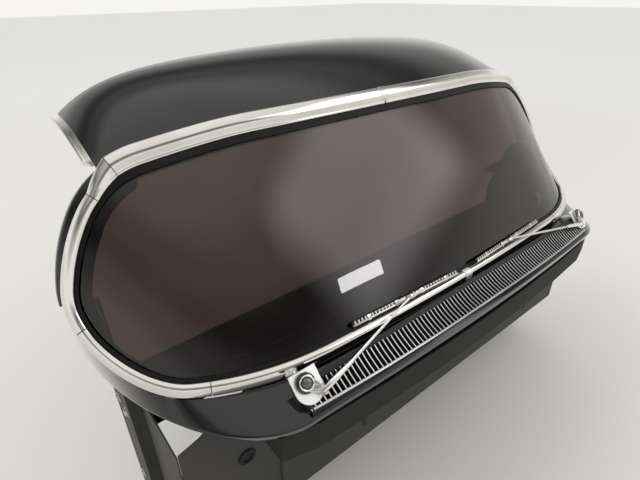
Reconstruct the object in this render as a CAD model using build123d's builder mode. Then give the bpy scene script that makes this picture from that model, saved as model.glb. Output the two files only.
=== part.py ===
from build123d import *
import math
import os

# Windshield and cowl assembly of a 1950s hardtop, all sizes in millimetres.
# +X is the car's left, -Y its front, +Z up. The origin lies midway between the two
# body bolts, on the underside of the cowl feet. Sizes below are measured from the
# middle of the glass's lower edge, which lies here:
baseY, baseZ = -330, 600

# Glass surface: straight lines between two plan curves, each a centre arc and a corner arc
lowLevel, highLevel = -70, 370
planRows = {
    # front: Y of the centre, half: where the centre arc ends, rise: how far back it ends
    "low": dict(front=-30, half=378, rise=8, corner=442, turn=66.0),
    "high": dict(front=340, half=432, rise=28, corner=796, turn=39.4),
}
glassThick = 8
glassInset = 9.5

# Outline of the opening seen from the front: a walk from the bottom centre to the top centre
outlineStart = -18
outlineWalk = [
    # length, turn in degrees, straight pieces in a loft along it
    (307, 0, 4),
    (317, -2.2, 9),
    (210, 110, 10),
    (121, 20.6, 3),
    (137, 41.5, 6),
    (224, 9, 4),
    (360, 1.1, 5),
]
outlineLength = 1654

# Joints of the bright mouldings, as walked lengths
sillEnd, cornerEnd, sideEnd, capEnd = 597, 772, 992, 1047
mouldingGap = 2

# Sections along the outline: w outward in the surface, n off the surface
sillSection = [(-13, 3.2), (-12, 7), (-8, 10.5), (-2, 11.5), (3, 10), (12, 3.5), (13, 0), (13, -7),
               (11, -7), (10, 1), (0, 1), (-2, 3.2)]
crownSection = [(-4, 3.2), (-3, 4.6), (2, 6), (10, 13), (16, 14.5), (26, 14.5), (33, 12), (36, 5),
                (36, -2), (33, -2), (31, 1), (0, 3.2)]
sealSection = [(-22, -11), (8, -11), (8, 0.8), (-1, 0.8), (-3, 3), (-17, 3), (-20, 2.4), (-20, 1.2),
               (-3, 1.2), (-3, -7.4), (-22, -7.4)]
garnishSection = [(-36, -12), (-34, -18), (-28, -22), (-11, -23), (-5, -20), (-5, -12)]
pillarSection = [(-4, -12), (30, -12), (38, -20), (38, -40), (10, -48), (-4, -34)]
headerSection = [(-4, -12), (32, -12), (52, -24), (52, -34), (6, -42), (-4, -32)]
flangeSection = [(-22, -11.5), (-18.4, -57), (-21.6, -57), (-25, -11.5)]
pillarStart, headerStart = 812, 1094

# Vent grille in front of the glass: hollow profiles at its centre and at its ends
ventHalf = 488
ventRear, ventFront, ventFrontEnd = -6, -62, -46
ventCentre = [(-2, -10), (-32.5, -29.6), (-66, -41)]
ventEnd = [(-2, -10), (-26, -30), (-50, -46)]
ventDeep = 25
slatPitch, slatWidth, slatDeep = 10.6, 4.2, 11

# Front seam of the cowl top: along the vent, then a quarter ellipse to the pillar
seamStraight, seamFront, seamEnd = 474, -70, -52
seamZ, seamEndZ = -46, -58
seamWide, seamDeep = 268, 500
seamDrop, seamLift = 22, 10
cowlEnd = 800
sheet = 3

# Roof front and drip rails
roofRear, roofTop = 582, 433
roofCurve = 1.8
roofHalf, roofCrown, roofShoulder = 660, 40, 80

# Firewall, plenum, cowl sides and feet
kickX, pillarX, pillarOut = 680, 690, 706
pillarFront, pillarRear = 262, 392
firewallY, firewallLow, toeLow = 70, -430, -588
plenumHalf, plenumLow, plenumRim, plenumTop, plenumInset = 540, -140, -80, -47, 4.6
boltHalf, boltHole, footThick = 560, 6.5, 8

# Instrument panel
dashInset, dashLevel = 62, -44
dashRear, dashLow = 262, -205
clusterX, clusterHalf = 330, 150

# Wipers
pivot = Vector(478, -9.6, -13.9)
wiperAxis = Vector(0.076, -0.770, 0.634).normalized()
bladeMid = Vector(184, 26, 1)
bladeAlong = Vector(-1, -0.055, 0.004).normalized()
bladeLength, bladeHigh = 300, 12
hingeAlong, hingeSide, hingeUp = 20, 25, 17
plateTilt = math.radians(45)
plateLow, plateUp, plateIn, plateOut = -38, 20, -30, 24


def planPoint(row, s):
    """Point of a plan curve: s is 0 at the centre, 0.5 where the corner arc starts, 1 at its end."""
    r = planRows[row]
    lean = 2 * math.atan(r["rise"] / r["half"])
    arc = r["half"] / math.sin(lean)
    if s <= 0.5:
        a = lean * s / 0.5
        return arc * math.sin(a), r["front"] + arc * (1 - math.cos(a))
    a = lean + (math.radians(r["turn"]) - lean) * (s - 0.5) / 0.5
    cx = r["half"] - r["corner"] * math.sin(lean)
    cy = r["front"] + r["rise"] + r["corner"] * math.cos(lean)
    return cx + r["corner"] * math.sin(a), cy - r["corner"] * math.cos(a)


def surfacePoint(s, z):
    """Point of the outer glass surface at height z above the glass base."""
    t = (z - lowLevel) / (highLevel - lowLevel)
    low, high = planPoint("low", s), planPoint("high", s)
    return Vector(low[0] + (high[0] - low[0]) * t, low[1] + (high[1] - low[1]) * t, z)


def onSurface(x, z):
    """Point of the glass surface seen from the front at x, z, and its outward normal."""
    lo, hi = 0.0, 1.2
    for _ in range(40):
        mid = (lo + hi) / 2
        lo, hi = (mid, hi) if surfacePoint(mid, z).X < x else (lo, mid)
    along = surfacePoint(lo + 0.01, z) - surfacePoint(max(lo - 0.01, 0), z)
    rising = surfacePoint(lo, z + 5) - surfacePoint(lo, z - 5)
    return surfacePoint(lo, z), along.cross(rising).normalized()


def place(v):
    """From the glass base centre to the part's own frame."""
    return Vector(v.X, v.Y + baseY, v.Z + baseZ)


def outlineAt(length):
    """Point x, z and heading of the outline after a walked length."""
    x, z, heading, left = 0.0, outlineStart, 0.0, length
    for step, turn, pieces in outlineWalk:
        part = min(left, step)
        a = math.radians(turn) * part / step
        if abs(a) < 1e-6:
            dx, dz = part, 0.0
        else:
            r = part / a
            dx, dz = r * math.sin(a), r * (1 - math.cos(a))
        x += dx * math.cos(heading) - dz * math.sin(heading)
        z += dx * math.sin(heading) + dz * math.cos(heading)
        heading += a
        left -= part
        if left <= 0:
            break
    return x, z, heading


def station(length):
    """Frame on the outline: point, tangent, outward direction in the surface, normal."""
    length = min(length, outlineLength)
    x, z, heading = outlineAt(length)
    p, n = onSurface(max(x, 0.0), z)
    ahead, _ = onSurface(max(x + 2 * math.cos(heading), 0.0), z + 2 * math.sin(heading))
    t = (ahead - p).normalized() if length < outlineLength - 3 else Vector(-1, 0, 0)
    if length < 3:
        t = Vector(1, 0, 0)
    out = t.cross(n).normalized()
    return p, t, out, n


def walkStops(start, stop):
    """Walked lengths from start to stop, spaced as the outline's table says."""
    stops, at = [start], 0.0
    for step, turn, pieces in outlineWalk:
        for k in range(1, pieces + 1):
            length = at + step * k / pieces
            if start + 5 < length < stop - 5:
                stops.append(length)
        at += step
    return stops + [stop]


def rim(start, stop, section):
    """Piece of one section along the outline on the car's left."""
    with BuildPart() as piece:
        for length in walkStops(start, stop):
            p, t, out, n = station(length)
            with BuildSketch(Plane(origin=place(p), x_dir=out, z_dir=-t)):
                with BuildLine():
                    Polyline(*section, close=True)
                make_face()
        loft(ruled=True)
    return piece.part


def bothSides(part):
    """A piece on the car's left joined to its mirror image."""
    with BuildPart() as whole:
        add(part)
        mirror(about=Plane.YZ)
    return whole.part


def keep(part, label):
    part.label = label
    export_step(part, "parts/" + label + ".step")


def keepPair(part, label):
    keep(part, label + "_left")
    keep(part.mirror(Plane.YZ), label + "_right")


def profile(points):
    """Closed outline in the car's middle plane, by its Y and Z."""
    with BuildSketch(Plane.YZ) as face:
        with BuildLine():
            Polyline(*[(y + baseY, z + baseZ) for y, z in points], close=True)
        make_face()
    return face.sketch


os.makedirs("parts", exist_ok=True)

# Windshield glass: a wrapped shell trimmed to the opening
with BuildPart() as glass:
    for level, row in ((lowLevel, "low"), (highLevel, "high")):
        with BuildSketch(Plane.XY.offset(level + baseZ)):
            with BuildLine():
                ends = []
                for back in (0, glassThick):
                    half = [planPoint(row, s) for s in (0.0, 0.25, 0.5, 0.75, 1.0)]
                    half = [(x, y + back + baseY) for x, y in half]
                    other = [(-x, y) for x, y in half]
                    ThreePointArc(half[2], half[0], other[2])
                    ThreePointArc(half[2], half[3], half[4])
                    ThreePointArc(other[2], other[3], other[4])
                    ends.append(half[4])
                for side in (1, -1):
                    Line(*[(side * x, y) for x, y in ends])
            make_face()
    loft(ruled=True)
    trim = []
    for length in walkStops(0, outlineLength):
        p, t, out, n = station(length)
        q = p - out * glassInset
        trim.append((max(q.X, 0), q.Z + baseZ))
    with BuildSketch(Plane.XZ.offset(400 - baseY)):
        with BuildLine():
            Polyline(*trim, *[(-x, z) for x, z in trim[-2:0:-1]], close=True)
        make_face()
    extrude(amount=-1500, mode=Mode.INTERSECT)
keep(glass.part, "windshield_glass")

# Rubber seal round the glass, and the flange panel below it towards the cabin
keep(bothSides(rim(0, outlineLength, sealSection)), "windshield_seal")
keep(bothSides(rim(0, sillEnd, flangeSection)), "cowl_inner_panel")

# Bright mouldings, each side's in five lengths with covers over the middle joints
keepPair(rim(mouldingGap, sillEnd - 1, sillSection), "lower_moulding")
keepPair(rim(sillEnd + 1, cornerEnd - 1, sillSection), "corner_moulding")
keepPair(rim(cornerEnd + 1, sideEnd - 1, sillSection), "side_moulding")
keepPair(rim(sideEnd + 1, capEnd - 1, crownSection), "upper_corner_moulding")
keepPair(rim(capEnd + 1, outlineLength - mouldingGap, crownSection), "upper_moulding")
for label, length, section, lip in (("lower_joint_cover", 0, sillSection, 4),
                                    ("upper_joint_cover", outlineLength, crownSection, 6)):
    p, t, out, n = station(length)
    with BuildPart() as cover:
        for grown, wide, mode in ((1.1, 11, Mode.ADD), (0.2, 12, Mode.SUBTRACT)):
            with BuildSketch(Plane(origin=place(p), x_dir=out, z_dir=out.cross(n))):
                with BuildLine():
                    Polyline(*section, close=True)
                make_face()
                offset(amount=grown, kind=Kind.INTERSECTION)
            extrude(amount=wide, both=True, mode=mode)
        with BuildSketch(Plane(origin=place(p), x_dir=out, z_dir=out.cross(n))):
            with Locations((10, lip - 30)):
                Rectangle(120, 60)
        extrude(amount=12, both=True, mode=Mode.SUBTRACT)
    keep(cover.part, label)

# Pillars beside the glass with their inner trim, and the header above it
keepPair(rim(pillarStart, headerStart + 6, pillarSection), "windshield_pillar")
keepPair(rim(cornerEnd - 30, headerStart - 10, garnishSection), "pillar_trim")
keep(bothSides(rim(headerStart + 8, outlineLength, headerSection)), "header")


def seamPoint(x):
    """Front seam of the cowl top at a distance from the centre."""
    if x <= seamStraight:
        f = (x / seamStraight) ** 2
        return Vector(x, seamFront + (seamEnd - seamFront) * f, seamZ + (seamEndZ - seamZ) * f)
    a = math.asin(min((x - seamStraight) / seamWide, 1))
    return Vector(x, seamEnd + seamDeep * (1 - math.cos(a)),
                  seamEndZ - seamDrop * math.sin(a) + seamLift * (1 - math.cos(a)))


def ventHalfBlock(deep, flat):
    """Left half of the grille's hollow shape; its underside may be flat fore and aft."""
    with BuildPart() as block:
        for x, line in ((0, ventCentre), (ventHalf, ventEnd)):
            top = [(y + baseY, z + baseZ) for y, z in line]
            low = [(y, z - deep) for y, z in reversed(top)]
            with BuildSketch(Plane.YZ.offset(x)):
                with BuildLine():
                    Polyline(*top, low[0], *([] if flat else low[1:2]), low[2], close=True)
                make_face()
        loft(ruled=True)
    return block.part


def ventOutline(endIn, frontIn, rearIn):
    """Outline of the grille from above, drawn in from its edges, extruded through it."""
    x, rear = ventHalf - endIn, ventRear - rearIn + baseY
    front, middle = ventFrontEnd + frontIn + baseY, ventFront + frontIn + baseY
    with BuildPart() as block:
        with BuildSketch(Plane.XY.offset(baseZ - 120)):
            with BuildLine():
                Line((-x, rear), (x, rear))
                Line((x, rear), (x, front))
                ThreePointArc((x, front), (0, middle), (-x, front))
                Line((-x, front), (-x, rear))
            make_face()
        extrude(amount=240)
    return block.part


# Frame of the pivot plates and of the sweep, on the car's left
plateNormal = Vector(0, -math.sin(plateTilt), math.cos(plateTilt))
toBlade = bladeMid + wiperAxis * bladeHigh - pivot
sweepX = (toBlade - wiperAxis * toBlade.dot(wiperAxis)).normalized()
sweepPlane = Plane(origin=place(pivot), x_dir=sweepX, z_dir=wiperAxis)


def plateBlock(low, high, spare):
    """The pivot plate's outline, flat above and rounded below, between two levels."""
    with BuildPart() as block:
        with BuildSketch(Plane(place(pivot + plateNormal * low), x_dir=(1, 0, 0), z_dir=plateNormal)):
            left, right, up = plateIn - spare, plateOut + spare, plateUp + spare
            bend = plateLow + (plateOut - plateIn) / 2
            with BuildLine():
                Polyline((left, bend), (left, up), (right, up), (right, bend))
                ThreePointArc((right, bend), ((left + right) / 2, plateLow - spare), (left, bend))
            make_face()
        extrude(amount=high - low)
    return block.part


def spindleBlock(radius, low, high):
    """Round bar on the wiper's axis between two heights."""
    with BuildPart() as block:
        with BuildSketch(sweepPlane.offset(low)):
            Circle(radius)
        extrude(amount=high - low)
    return block.part


plateRoom = bothSides(plateBlock(3.2, 40, 0.3))
spindleRoom = bothSides(spindleBlock(12.3, -75, 10))

# Cowl top panel: a crescent between the glass and the front seam, with the vent opening
with BuildPart() as cowlHalf:
    for length in walkStops(0, cowlEnd):
        f = length / cowlEnd
        p, t, out, n = station(length)
        if length == 0:
            out, n = Vector(0, out.Y, out.Z), Vector(0, n.Y, n.Z)
        g = p + out * 16 - n * 3
        turn = max(f - 0.5, 0) * math.pi
        run = seamPoint(2 * f * seamStraight if f < 0.5 else seamStraight + seamWide * math.sin(turn)) - g
        d = run.length
        run = run.normalized()
        up = (n - run * n.dot(run)).normalized()
        crown = 0.6 + 4 * (1 - f)
        with BuildSketch(Plane(origin=place(g), x_dir=run, z_dir=run.cross(up))):
            with BuildLine():
                Polyline((0, 0), (0.45 * d, crown), (d - 2, 0), (d, -2), (d, -16), (d - sheet, -16),
                         (d - sheet, -sheet), (0.45 * d, crown - sheet), (0, -sheet), close=True)
            make_face()
    loft(ruled=True)
cowlSkin = bothSides(cowlHalf.part)
ventRoom = ventOutline(-0.2, -0.2, -0.2)
with BuildPart() as cowlTop:
    add(cowlSkin)
    add(ventRoom, mode=Mode.SUBTRACT)
    add(plateRoom, mode=Mode.SUBTRACT)
    add(spindleRoom, mode=Mode.SUBTRACT)
keep(cowlTop.part, "cowl_top_panel")

# Vent grille: fore-and-aft slats of a hollow profile, set a little below their frame
slats = int((ventHalf - 10) // slatPitch)
ventShape, ventHollow, slatReach = ventOutline(0, 0, 0), ventOutline(7, 5, 9), ventOutline(5, 2, 5)
frameBlock, slatBlock = ventHalfBlock(ventDeep, False), ventHalfBlock(slatDeep, True)
with BuildPart() as slatRow:
    with BuildSketch(Plane.XY.offset(baseZ - 110)):
        with Locations([(k * slatPitch, ventFront + 20 + baseY) for k in range(slats + 1)]):
            Rectangle(slatWidth, 100)
    extrude(amount=110)
    add(slatBlock.moved(Location((0, 0, -1))), mode=Mode.INTERSECT)
    add(slatReach, mode=Mode.INTERSECT)
with BuildPart() as vent:
    add(frameBlock)
    add(ventShape, mode=Mode.INTERSECT)
    add(ventHollow, mode=Mode.SUBTRACT)
    add(slatRow.part)
    add(plateRoom, mode=Mode.SUBTRACT)
    add(spindleRoom, mode=Mode.SUBTRACT)
keep(bothSides(vent.part), "vent_grille")

# Plenum under the vent, its front wall following the seam, with a lip towards the cabin
with BuildPart() as plenum:
    for inset, low, mode in ((0, plenumLow, Mode.ADD), (sheet, plenumLow + sheet, Mode.SUBTRACT)):
        with BuildSketch(Plane.XY.offset(low + baseZ)):
            front = []
            for x in (0, 160, 320, seamStraight, plenumHalf + sheet - inset):
                front.append((x, seamPoint(x).Y + plenumInset + inset + baseY))
            rear = (plenumHalf + sheet - inset, firewallY - 0.5 - inset + baseY)
            with BuildLine():
                Polyline(*front, rear, (-rear[0], rear[1]), *[(-x, y) for x, y in front[:0:-1]], close=True)
            make_face()
        extrude(amount=plenumRim - low, mode=mode)
    extrude(profile([(10, plenumTop - sheet), (10, plenumTop), (firewallY - 0.5, plenumTop),
                     (firewallY - 0.5, plenumRim - 1), (firewallY - 0.5 - sheet, plenumRim - 1),
                     (firewallY - 0.5 - sheet, plenumTop - sheet)]), amount=seamStraight + 20, both=True)
    add(spindleRoom, mode=Mode.SUBTRACT)
keep(plenum.part, "plenum_box")

# Firewall with pressed ribs, and the sloping toe board with its own
with BuildPart() as firewall:
    with BuildSketch(Plane.XZ.offset(-firewallY - baseY)):
        with BuildLine():
            side = [(kickX - 1, firewallLow), (kickX - 1, -114), (640, -102), (plenumHalf + 5, plenumTop - 4)]
            side = [(x, z + baseZ) for x, z in side]
            Polyline(*side, *[(-x, z) for x, z in reversed(side)], close=True)
        make_face()
    extrude(amount=-sheet)
    ribY = firewallY + baseY
    for x in (-480, -240, 240, 480):
        with BuildSketch(Plane.XY.offset(baseZ + firewallLow + 50)):
            with Locations((x, ribY)):
                Circle(9)
                Rectangle(40, 40, align=(Align.CENTER, Align.MIN), mode=Mode.SUBTRACT)
        extrude(amount=210)
keep(firewall.part, "firewall")
slope = math.atan2(toeLow - firewallLow, pillarFront - firewallY)
with BuildPart() as toeBoard:
    extrude(profile([(firewallY, firewallLow - 0.3), (pillarFront, toeLow), (pillarFront, toeLow + 4),
                     (firewallY + 3, firewallLow - 0.3)]), amount=kickX - 1, both=True)
    for f in (0.25, 0.5, 0.75):
        y = firewallY + (pillarFront - firewallY) * f
        z = firewallLow + (toeLow - firewallLow) * f
        with BuildSketch(Plane((-boltHalf, y + baseY, z + baseZ + 2), x_dir=(0, math.cos(slope), math.sin(slope)),
                               z_dir=(1, 0, 0))):
            Circle(7)
        extrude(amount=2 * boltHalf)
keep(toeBoard.part, "toe_board")

# Cowl sides: kick panel, hinge pillar with its dogleg, and the foot
hingePillar = [(262, -600), (392, -600), (392, -100), (352, 30), (336, 66), (300, 84), (296, 30), (262, -100)]
kickPanel = [(firewallY, -116), (firewallY, firewallLow), (pillarFront, toeLow), (pillarFront, -116)]
with BuildPart() as cowlSide:
    for points, x, wide in ((hingePillar, pillarX, pillarOut - pillarX), (kickPanel, kickX, sheet)):
        with BuildSketch(Plane.YZ.offset(x)):
            with BuildLine():
                Polyline(*[(y + baseY, z + baseZ) for y, z in points], close=True)
            make_face()
        extrude(amount=wide)
    with BuildSketch(Plane.YZ.offset(kickX)):
        with BuildLine():
            Polyline(*[(pillarFront + y + baseY, z + baseZ) for y, z in (
                (-12, -590), (10, -590), (10, -116), (-12, -116))], close=True)
        make_face()
    extrude(amount=pillarX - kickX)
    with BuildSketch(Plane.XY):
        with Locations(((boltHalf - 40 + pillarOut) / 2, (pillarFront + pillarRear) / 2 + baseY)):
            RectangleRounded(pillarOut - boltHalf + 40, 96, 12)
        with Locations((boltHalf, 0)):
            Circle(boltHole, mode=Mode.SUBTRACT)
    extrude(amount=footThick)
    with BuildSketch(Plane.XZ.offset(-(pillarFront + pillarRear) / 2 - baseY - 3)):
        with BuildLine():
            Polyline((600, footThick - 1), (pillarX + 2, footThick - 1), (pillarX + 2, 92), close=True)
        make_face()
    extrude(amount=6)
keepPair(cowlSide.part, "cowl_side")

# Front of the roof: sections fore and aft from the moulding, falling to the drip rails
with BuildPart() as roof:
    rows = []
    for length in walkStops(1032, outlineLength):
        p, t, out, n = station(length)
        lip, front = p + out * 18 - n * 6, p + out * 37 - n * 4
        x = front.X
        drop = roofCrown * (x / roofHalf) ** 2 + roofShoulder * (x / roofHalf) ** 8
        line = [(lip.Y, lip.Z)]
        for f in (0, 0.08, 0.25, 0.55, 1):
            line.append((front.Y + (roofRear - front.Y) * f,
                         front.Z + (roofTop - drop - front.Z) * (1 - (1 - f) ** roofCurve)))
        rows.append((x, line + [(y, z - sheet) for y, z in reversed(line)]))
    for x, points in rows + [(-x, points) for x, points in reversed(rows[:-1])]:
        with BuildSketch(Plane.YZ.offset(x)):
            with BuildLine():
                Polyline(*[(y + baseY, z + baseZ) for y, z in points], close=True)
            make_face()
    loft(ruled=True)
keep(roof.part, "roof_front_panel")

# Drip rails: bright channels under the roof's side edges, from the upper corners back
railSection = [(-10, -3.3), (-10, -5.3), (8, -9), (14, -9.5), (16, -5), (16, 0), (14, 0), (14, -4.5), (12, -7.2),
               (8, -6.8), (0, -3.3)]
edgeX, edgeLine = rows[0][0], rows[0][1][2:6]
with BuildPart() as rail:
    for y, z in edgeLine:
        with BuildSketch(Plane.XZ.offset(-y - baseY)):
            with BuildLine():
                Polyline(*[(edgeX + a, z + b + baseZ) for a, b in railSection], close=True)
            make_face()
    loft(ruled=True)
keepPair(rail.part, "drip_rail")

# Instrument panel, its front edge following the glass, with speaker slots in its face
with BuildPart() as dash:
    rows = []
    for s in (0, 0.25, 0.5, 0.58, 0.66, 0.74, 0.82, 0.87):
        at, ahead = surfacePoint(s, -20), surfacePoint(s + 0.01, -20)
        along = (ahead - at).normalized()
        edge = at + Vector(-along.Y, along.X, 0) * dashInset
        rows.append((edge.X, edge.Y))
    rows.append((kickX - 4, rows[-1][1] + 14))
    for x, y in [(-x, y) for x, y in reversed(rows[1:])] + rows:
        points = [(y, dashLevel - 4), (y, dashLevel), (246, -46), (258, -54), (dashRear, -70), (256, -96),
                  (240, dashLow), (236, dashLow), (252, -96), (258, -71), (255, -58), (245, -50)]
        with BuildSketch(Plane.YZ.offset(x)):
            with BuildLine():
                Polyline(*[(a + baseY, b + baseZ) for a, b in points], close=True)
            make_face()
    loft(ruled=True)
    with BuildSketch(Plane.XZ.offset(-230 - baseY)):
        with Locations([(k * 14, baseZ - 150) for k in range(-5, 6)]):
            Rectangle(5, 60)
    extrude(amount=-40, mode=Mode.SUBTRACT)
keep(dash.part, "instrument_panel")

# Instrument cluster: a plate with three raised dial rims
with BuildPart() as cluster:
    with BuildSketch(Plane.XZ.offset(-268 - baseY)):
        with Locations((clusterX, baseZ - 118)):
            RectangleRounded(2 * clusterHalf, 84, 20)
    extrude(amount=5.5)
    with BuildSketch(Plane.XZ.offset(-268 - baseY)):
        with Locations([(clusterX + x, baseZ - 118) for x in (-96, 0, 96)]):
            RegularPolygon(34, 24)
            RegularPolygon(30, 24, mode=Mode.SUBTRACT)
    extrude(amount=-6)
keep(cluster.part, "instrument_cluster")

# Bright strip along the instrument panel's face
with BuildPart() as strip:
    extrude(profile([(256.1, -98.8), (255, -106), (258, -106), (259, -98.8)]), amount=640, both=True)
    with BuildSketch(Plane.XY.offset(baseZ - 110)):
        with Locations((clusterX, 260 + baseY)):
            Rectangle(2 * clusterHalf + 2, 30)
    extrude(amount=20, mode=Mode.SUBTRACT)
keep(strip.part, "dash_strip")

# Wiper motor on the firewall: gearbox, motor can and output crank boss
with BuildPart() as motor:
    with BuildSketch(Plane.XZ.offset(-firewallY - baseY + 0.2)):
        with Locations((-110, baseZ - 215)):
            RectangleRounded(130, 96, 14)
    extrude(amount=5)
    with BuildSketch(Plane.XZ.offset(-firewallY - baseY + 5)):
        with Locations((-110, baseZ - 215)):
            Circle(42)
    extrude(amount=34)
    with BuildSketch(Plane.YZ.offset(-110)):
        with Locations((firewallY - 36 + baseY, baseZ - 215)):
            Circle(30)
    extrude(amount=150)
    chamfer(motor.faces().sort_by(Axis.X)[-1].edges(), 8)
keep(motor.part, "wiper_motor")

# Wiper pivot plates, each with the housing of its spindle
plateSheet = plateBlock(3.5, 6.5, 0)
housing, bore = spindleBlock(12, -58, 6), spindleBlock(8.3, -70, 20)
with BuildPart() as plate:
    add(plateSheet)
    add(housing)
    add(bore, mode=Mode.SUBTRACT)
keepPair(plate.part, "wiper_plate")

# Frame of the arm: from the lift hinge on the head to the middle of the blade
hinge = pivot + sweepX * hingeAlong + wiperAxis.cross(sweepX) * hingeSide + wiperAxis * hingeUp
toJoint = bladeMid + wiperAxis * bladeHigh - hinge
armX = (toJoint - wiperAxis * toJoint.dot(wiperAxis)).normalized()
armReach, armFall = toJoint.dot(armX), toJoint.dot(wiperAxis)
armPlane = Plane(origin=place(hinge), x_dir=armX, z_dir=wiperAxis)
pinPlane = Plane(origin=place(hinge), x_dir=armX, z_dir=armX.cross(wiperAxis))

# Wiper heads: spindle, hub with its cap nut, and a neck that ends in the hinge's fork
with BuildPart() as head:
    for radius, low, high in ((8, -64, 10), (16, 9, 13), (11, 13, 20)):
        with BuildSketch(sweepPlane.offset(low)):
            Circle(radius)
        extrude(amount=high - low)
    rings = head.edges().filter_by(GeomType.CIRCLE)
    chamfer(rings.sort_by(lambda ring: ring.center().dot(wiperAxis))[-1], 2.5)
    with BuildSketch(sweepPlane.offset(10)):
        with BuildLine():
            Polyline((-8, 12), (9, 33), (27, 16), (13, -8), close=True)
        make_face()
    extrude(amount=4)
    with BuildSketch(pinPlane):
        Circle(5)
        with Locations((-4, -3.5)):
            Rectangle(12, 3)
    extrude(amount=7.5, both=True)
    with BuildSketch(pinPlane):
        Circle(6.5)
        with Locations((8, 0)):
            Rectangle(16, 13)
    extrude(amount=4.2, both=True, mode=Mode.SUBTRACT)
    with BuildSketch(pinPlane):
        Circle(2)
    extrude(amount=8.5, both=True)
keepPair(head.part, "wiper_head")

# Wiper arms: eye, tapered channel and rod
with BuildPart() as arm:
    with BuildSketch(pinPlane):
        Circle(4.6)
        with Locations((5, 0)):
            Rectangle(10, 6)
    extrude(amount=3.8, both=True)
    stations = [
        # along, off the hinge's level, width, height
        (9, 0.0, 9.5, 6.5),
        (70, -6.0, 4.6, 4.6),
        (205, armFall + 12, 4.2, 4.2),
        (armReach, armFall + 2.5, 4.2, 4.2),
    ]
    for (xa, za, wa, ha), (xb, zb, wb, hb) in zip(stations, stations[1:]):
        for x, z, wide, high in ((xa, za, wa, ha), (xb, zb, wb, hb)):
            with BuildSketch(Plane(armPlane.from_local_coords((x, 0, z)), x_dir=armPlane.y_dir, z_dir=armX)):
                Rectangle(wide, high)
        loft(ruled=True)
    with BuildSketch(pinPlane):
        Circle(2.3)
    extrude(amount=9, both=True, mode=Mode.SUBTRACT)
keepPair(arm.part, "wiper_arm")

# Wiper blades: carrier with its bridge, and the rubber under it
bladeUp = wiperAxis - bladeAlong * wiperAxis.dot(bladeAlong)
bladePlane = Plane(place(bladeMid), x_dir=bladeAlong, z_dir=bladeUp)
with BuildPart() as blade:
    with BuildSketch(bladePlane.offset(5)):
        RectangleRounded(bladeLength, 11, 2)
    extrude(amount=3)
    with BuildSketch(bladePlane.offset(8)):
        RectangleRounded(84, 7, 3)
    extrude(amount=bladeHigh - 8)
    with BuildSketch(bladePlane.offset(6)):
        with Locations([(k * 24, 0) for k in (-5.5, -4.5, -3.5, -2.5, 2.5, 3.5, 4.5, 5.5)]):
            Rectangle(9, 4)
    extrude(amount=4, mode=Mode.SUBTRACT)
keepPair(blade.part, "wiper_blade")
with BuildPart() as rubber:
    with BuildSketch(bladePlane.offset(1)):
        Rectangle(bladeLength - 6, 3)
    extrude(amount=3.8)
keepPair(rubber.part, "wiper_rubber")
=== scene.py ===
import math
import bmesh
import bpy
from mathutils import Matrix, Vector


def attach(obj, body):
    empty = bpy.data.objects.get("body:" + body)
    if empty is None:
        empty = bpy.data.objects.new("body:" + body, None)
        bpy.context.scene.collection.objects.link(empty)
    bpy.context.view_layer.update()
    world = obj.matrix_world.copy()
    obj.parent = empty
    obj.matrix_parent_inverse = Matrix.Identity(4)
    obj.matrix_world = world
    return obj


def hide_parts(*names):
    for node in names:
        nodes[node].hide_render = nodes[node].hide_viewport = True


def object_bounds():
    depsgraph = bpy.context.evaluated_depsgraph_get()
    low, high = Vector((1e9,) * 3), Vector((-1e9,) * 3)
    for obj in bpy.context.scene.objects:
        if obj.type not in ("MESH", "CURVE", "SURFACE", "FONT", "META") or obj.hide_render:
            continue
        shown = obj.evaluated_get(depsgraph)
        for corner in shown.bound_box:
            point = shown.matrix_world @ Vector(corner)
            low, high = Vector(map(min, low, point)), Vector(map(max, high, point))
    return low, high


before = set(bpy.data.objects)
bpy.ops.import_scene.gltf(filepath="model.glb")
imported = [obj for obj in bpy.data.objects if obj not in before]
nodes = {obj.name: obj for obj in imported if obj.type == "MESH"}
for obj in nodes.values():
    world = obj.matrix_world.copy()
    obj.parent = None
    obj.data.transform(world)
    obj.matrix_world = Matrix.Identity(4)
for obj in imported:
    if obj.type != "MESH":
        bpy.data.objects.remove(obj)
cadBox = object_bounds()
print("stage: frame loaded,", len(nodes), "nodes")

# The glass base's middle in the part's frame; sizes below are metres from it
glassBase = Vector((0, -0.330, 0.600))

# The glass: straight lines between two plan curves, each a centre arc and a corner arc
glassShape = {
    "lowLevel": -0.070, "highLevel": 0.370, "thick": 0.008, "inset": 0.0095,
    "low": {"front": -0.030, "half": 0.378, "rise": 0.008, "corner": 0.442, "turn": 66.0},
    "high": {"front": 0.340, "half": 0.432, "rise": 0.028, "corner": 0.796, "turn": 39.4},
}

# The opening's outline seen from the front: length and turn of each stretch, bottom to top
outline = {
    "start": -0.018, "length": 1.654,
    "walk": [(0.307, 0), (0.317, -2.2), (0.210, 110), (0.121, 20.6), (0.137, 41.5), (0.224, 9),
             (0.360, 1.1)],
}


def planPoint(row, s):
    r = glassShape[row]
    lean = 2 * math.atan(r["rise"] / r["half"])
    arc = r["half"] / math.sin(lean)
    if s <= 0.5:
        a = lean * s / 0.5
        return arc * math.sin(a), r["front"] + arc * (1 - math.cos(a))
    a = lean + (math.radians(r["turn"]) - lean) * (s - 0.5) / 0.5
    middleX = r["half"] - r["corner"] * math.sin(lean)
    middleY = r["front"] + r["rise"] + r["corner"] * math.cos(lean)
    return middleX + r["corner"] * math.sin(a), middleY - r["corner"] * math.cos(a)


def surfacePoint(s, z):
    t = (z - glassShape["lowLevel"]) / (glassShape["highLevel"] - glassShape["lowLevel"])
    low, high = planPoint("low", s), planPoint("high", s)
    return Vector((low[0] + (high[0] - low[0]) * t, low[1] + (high[1] - low[1]) * t, z))


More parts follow.
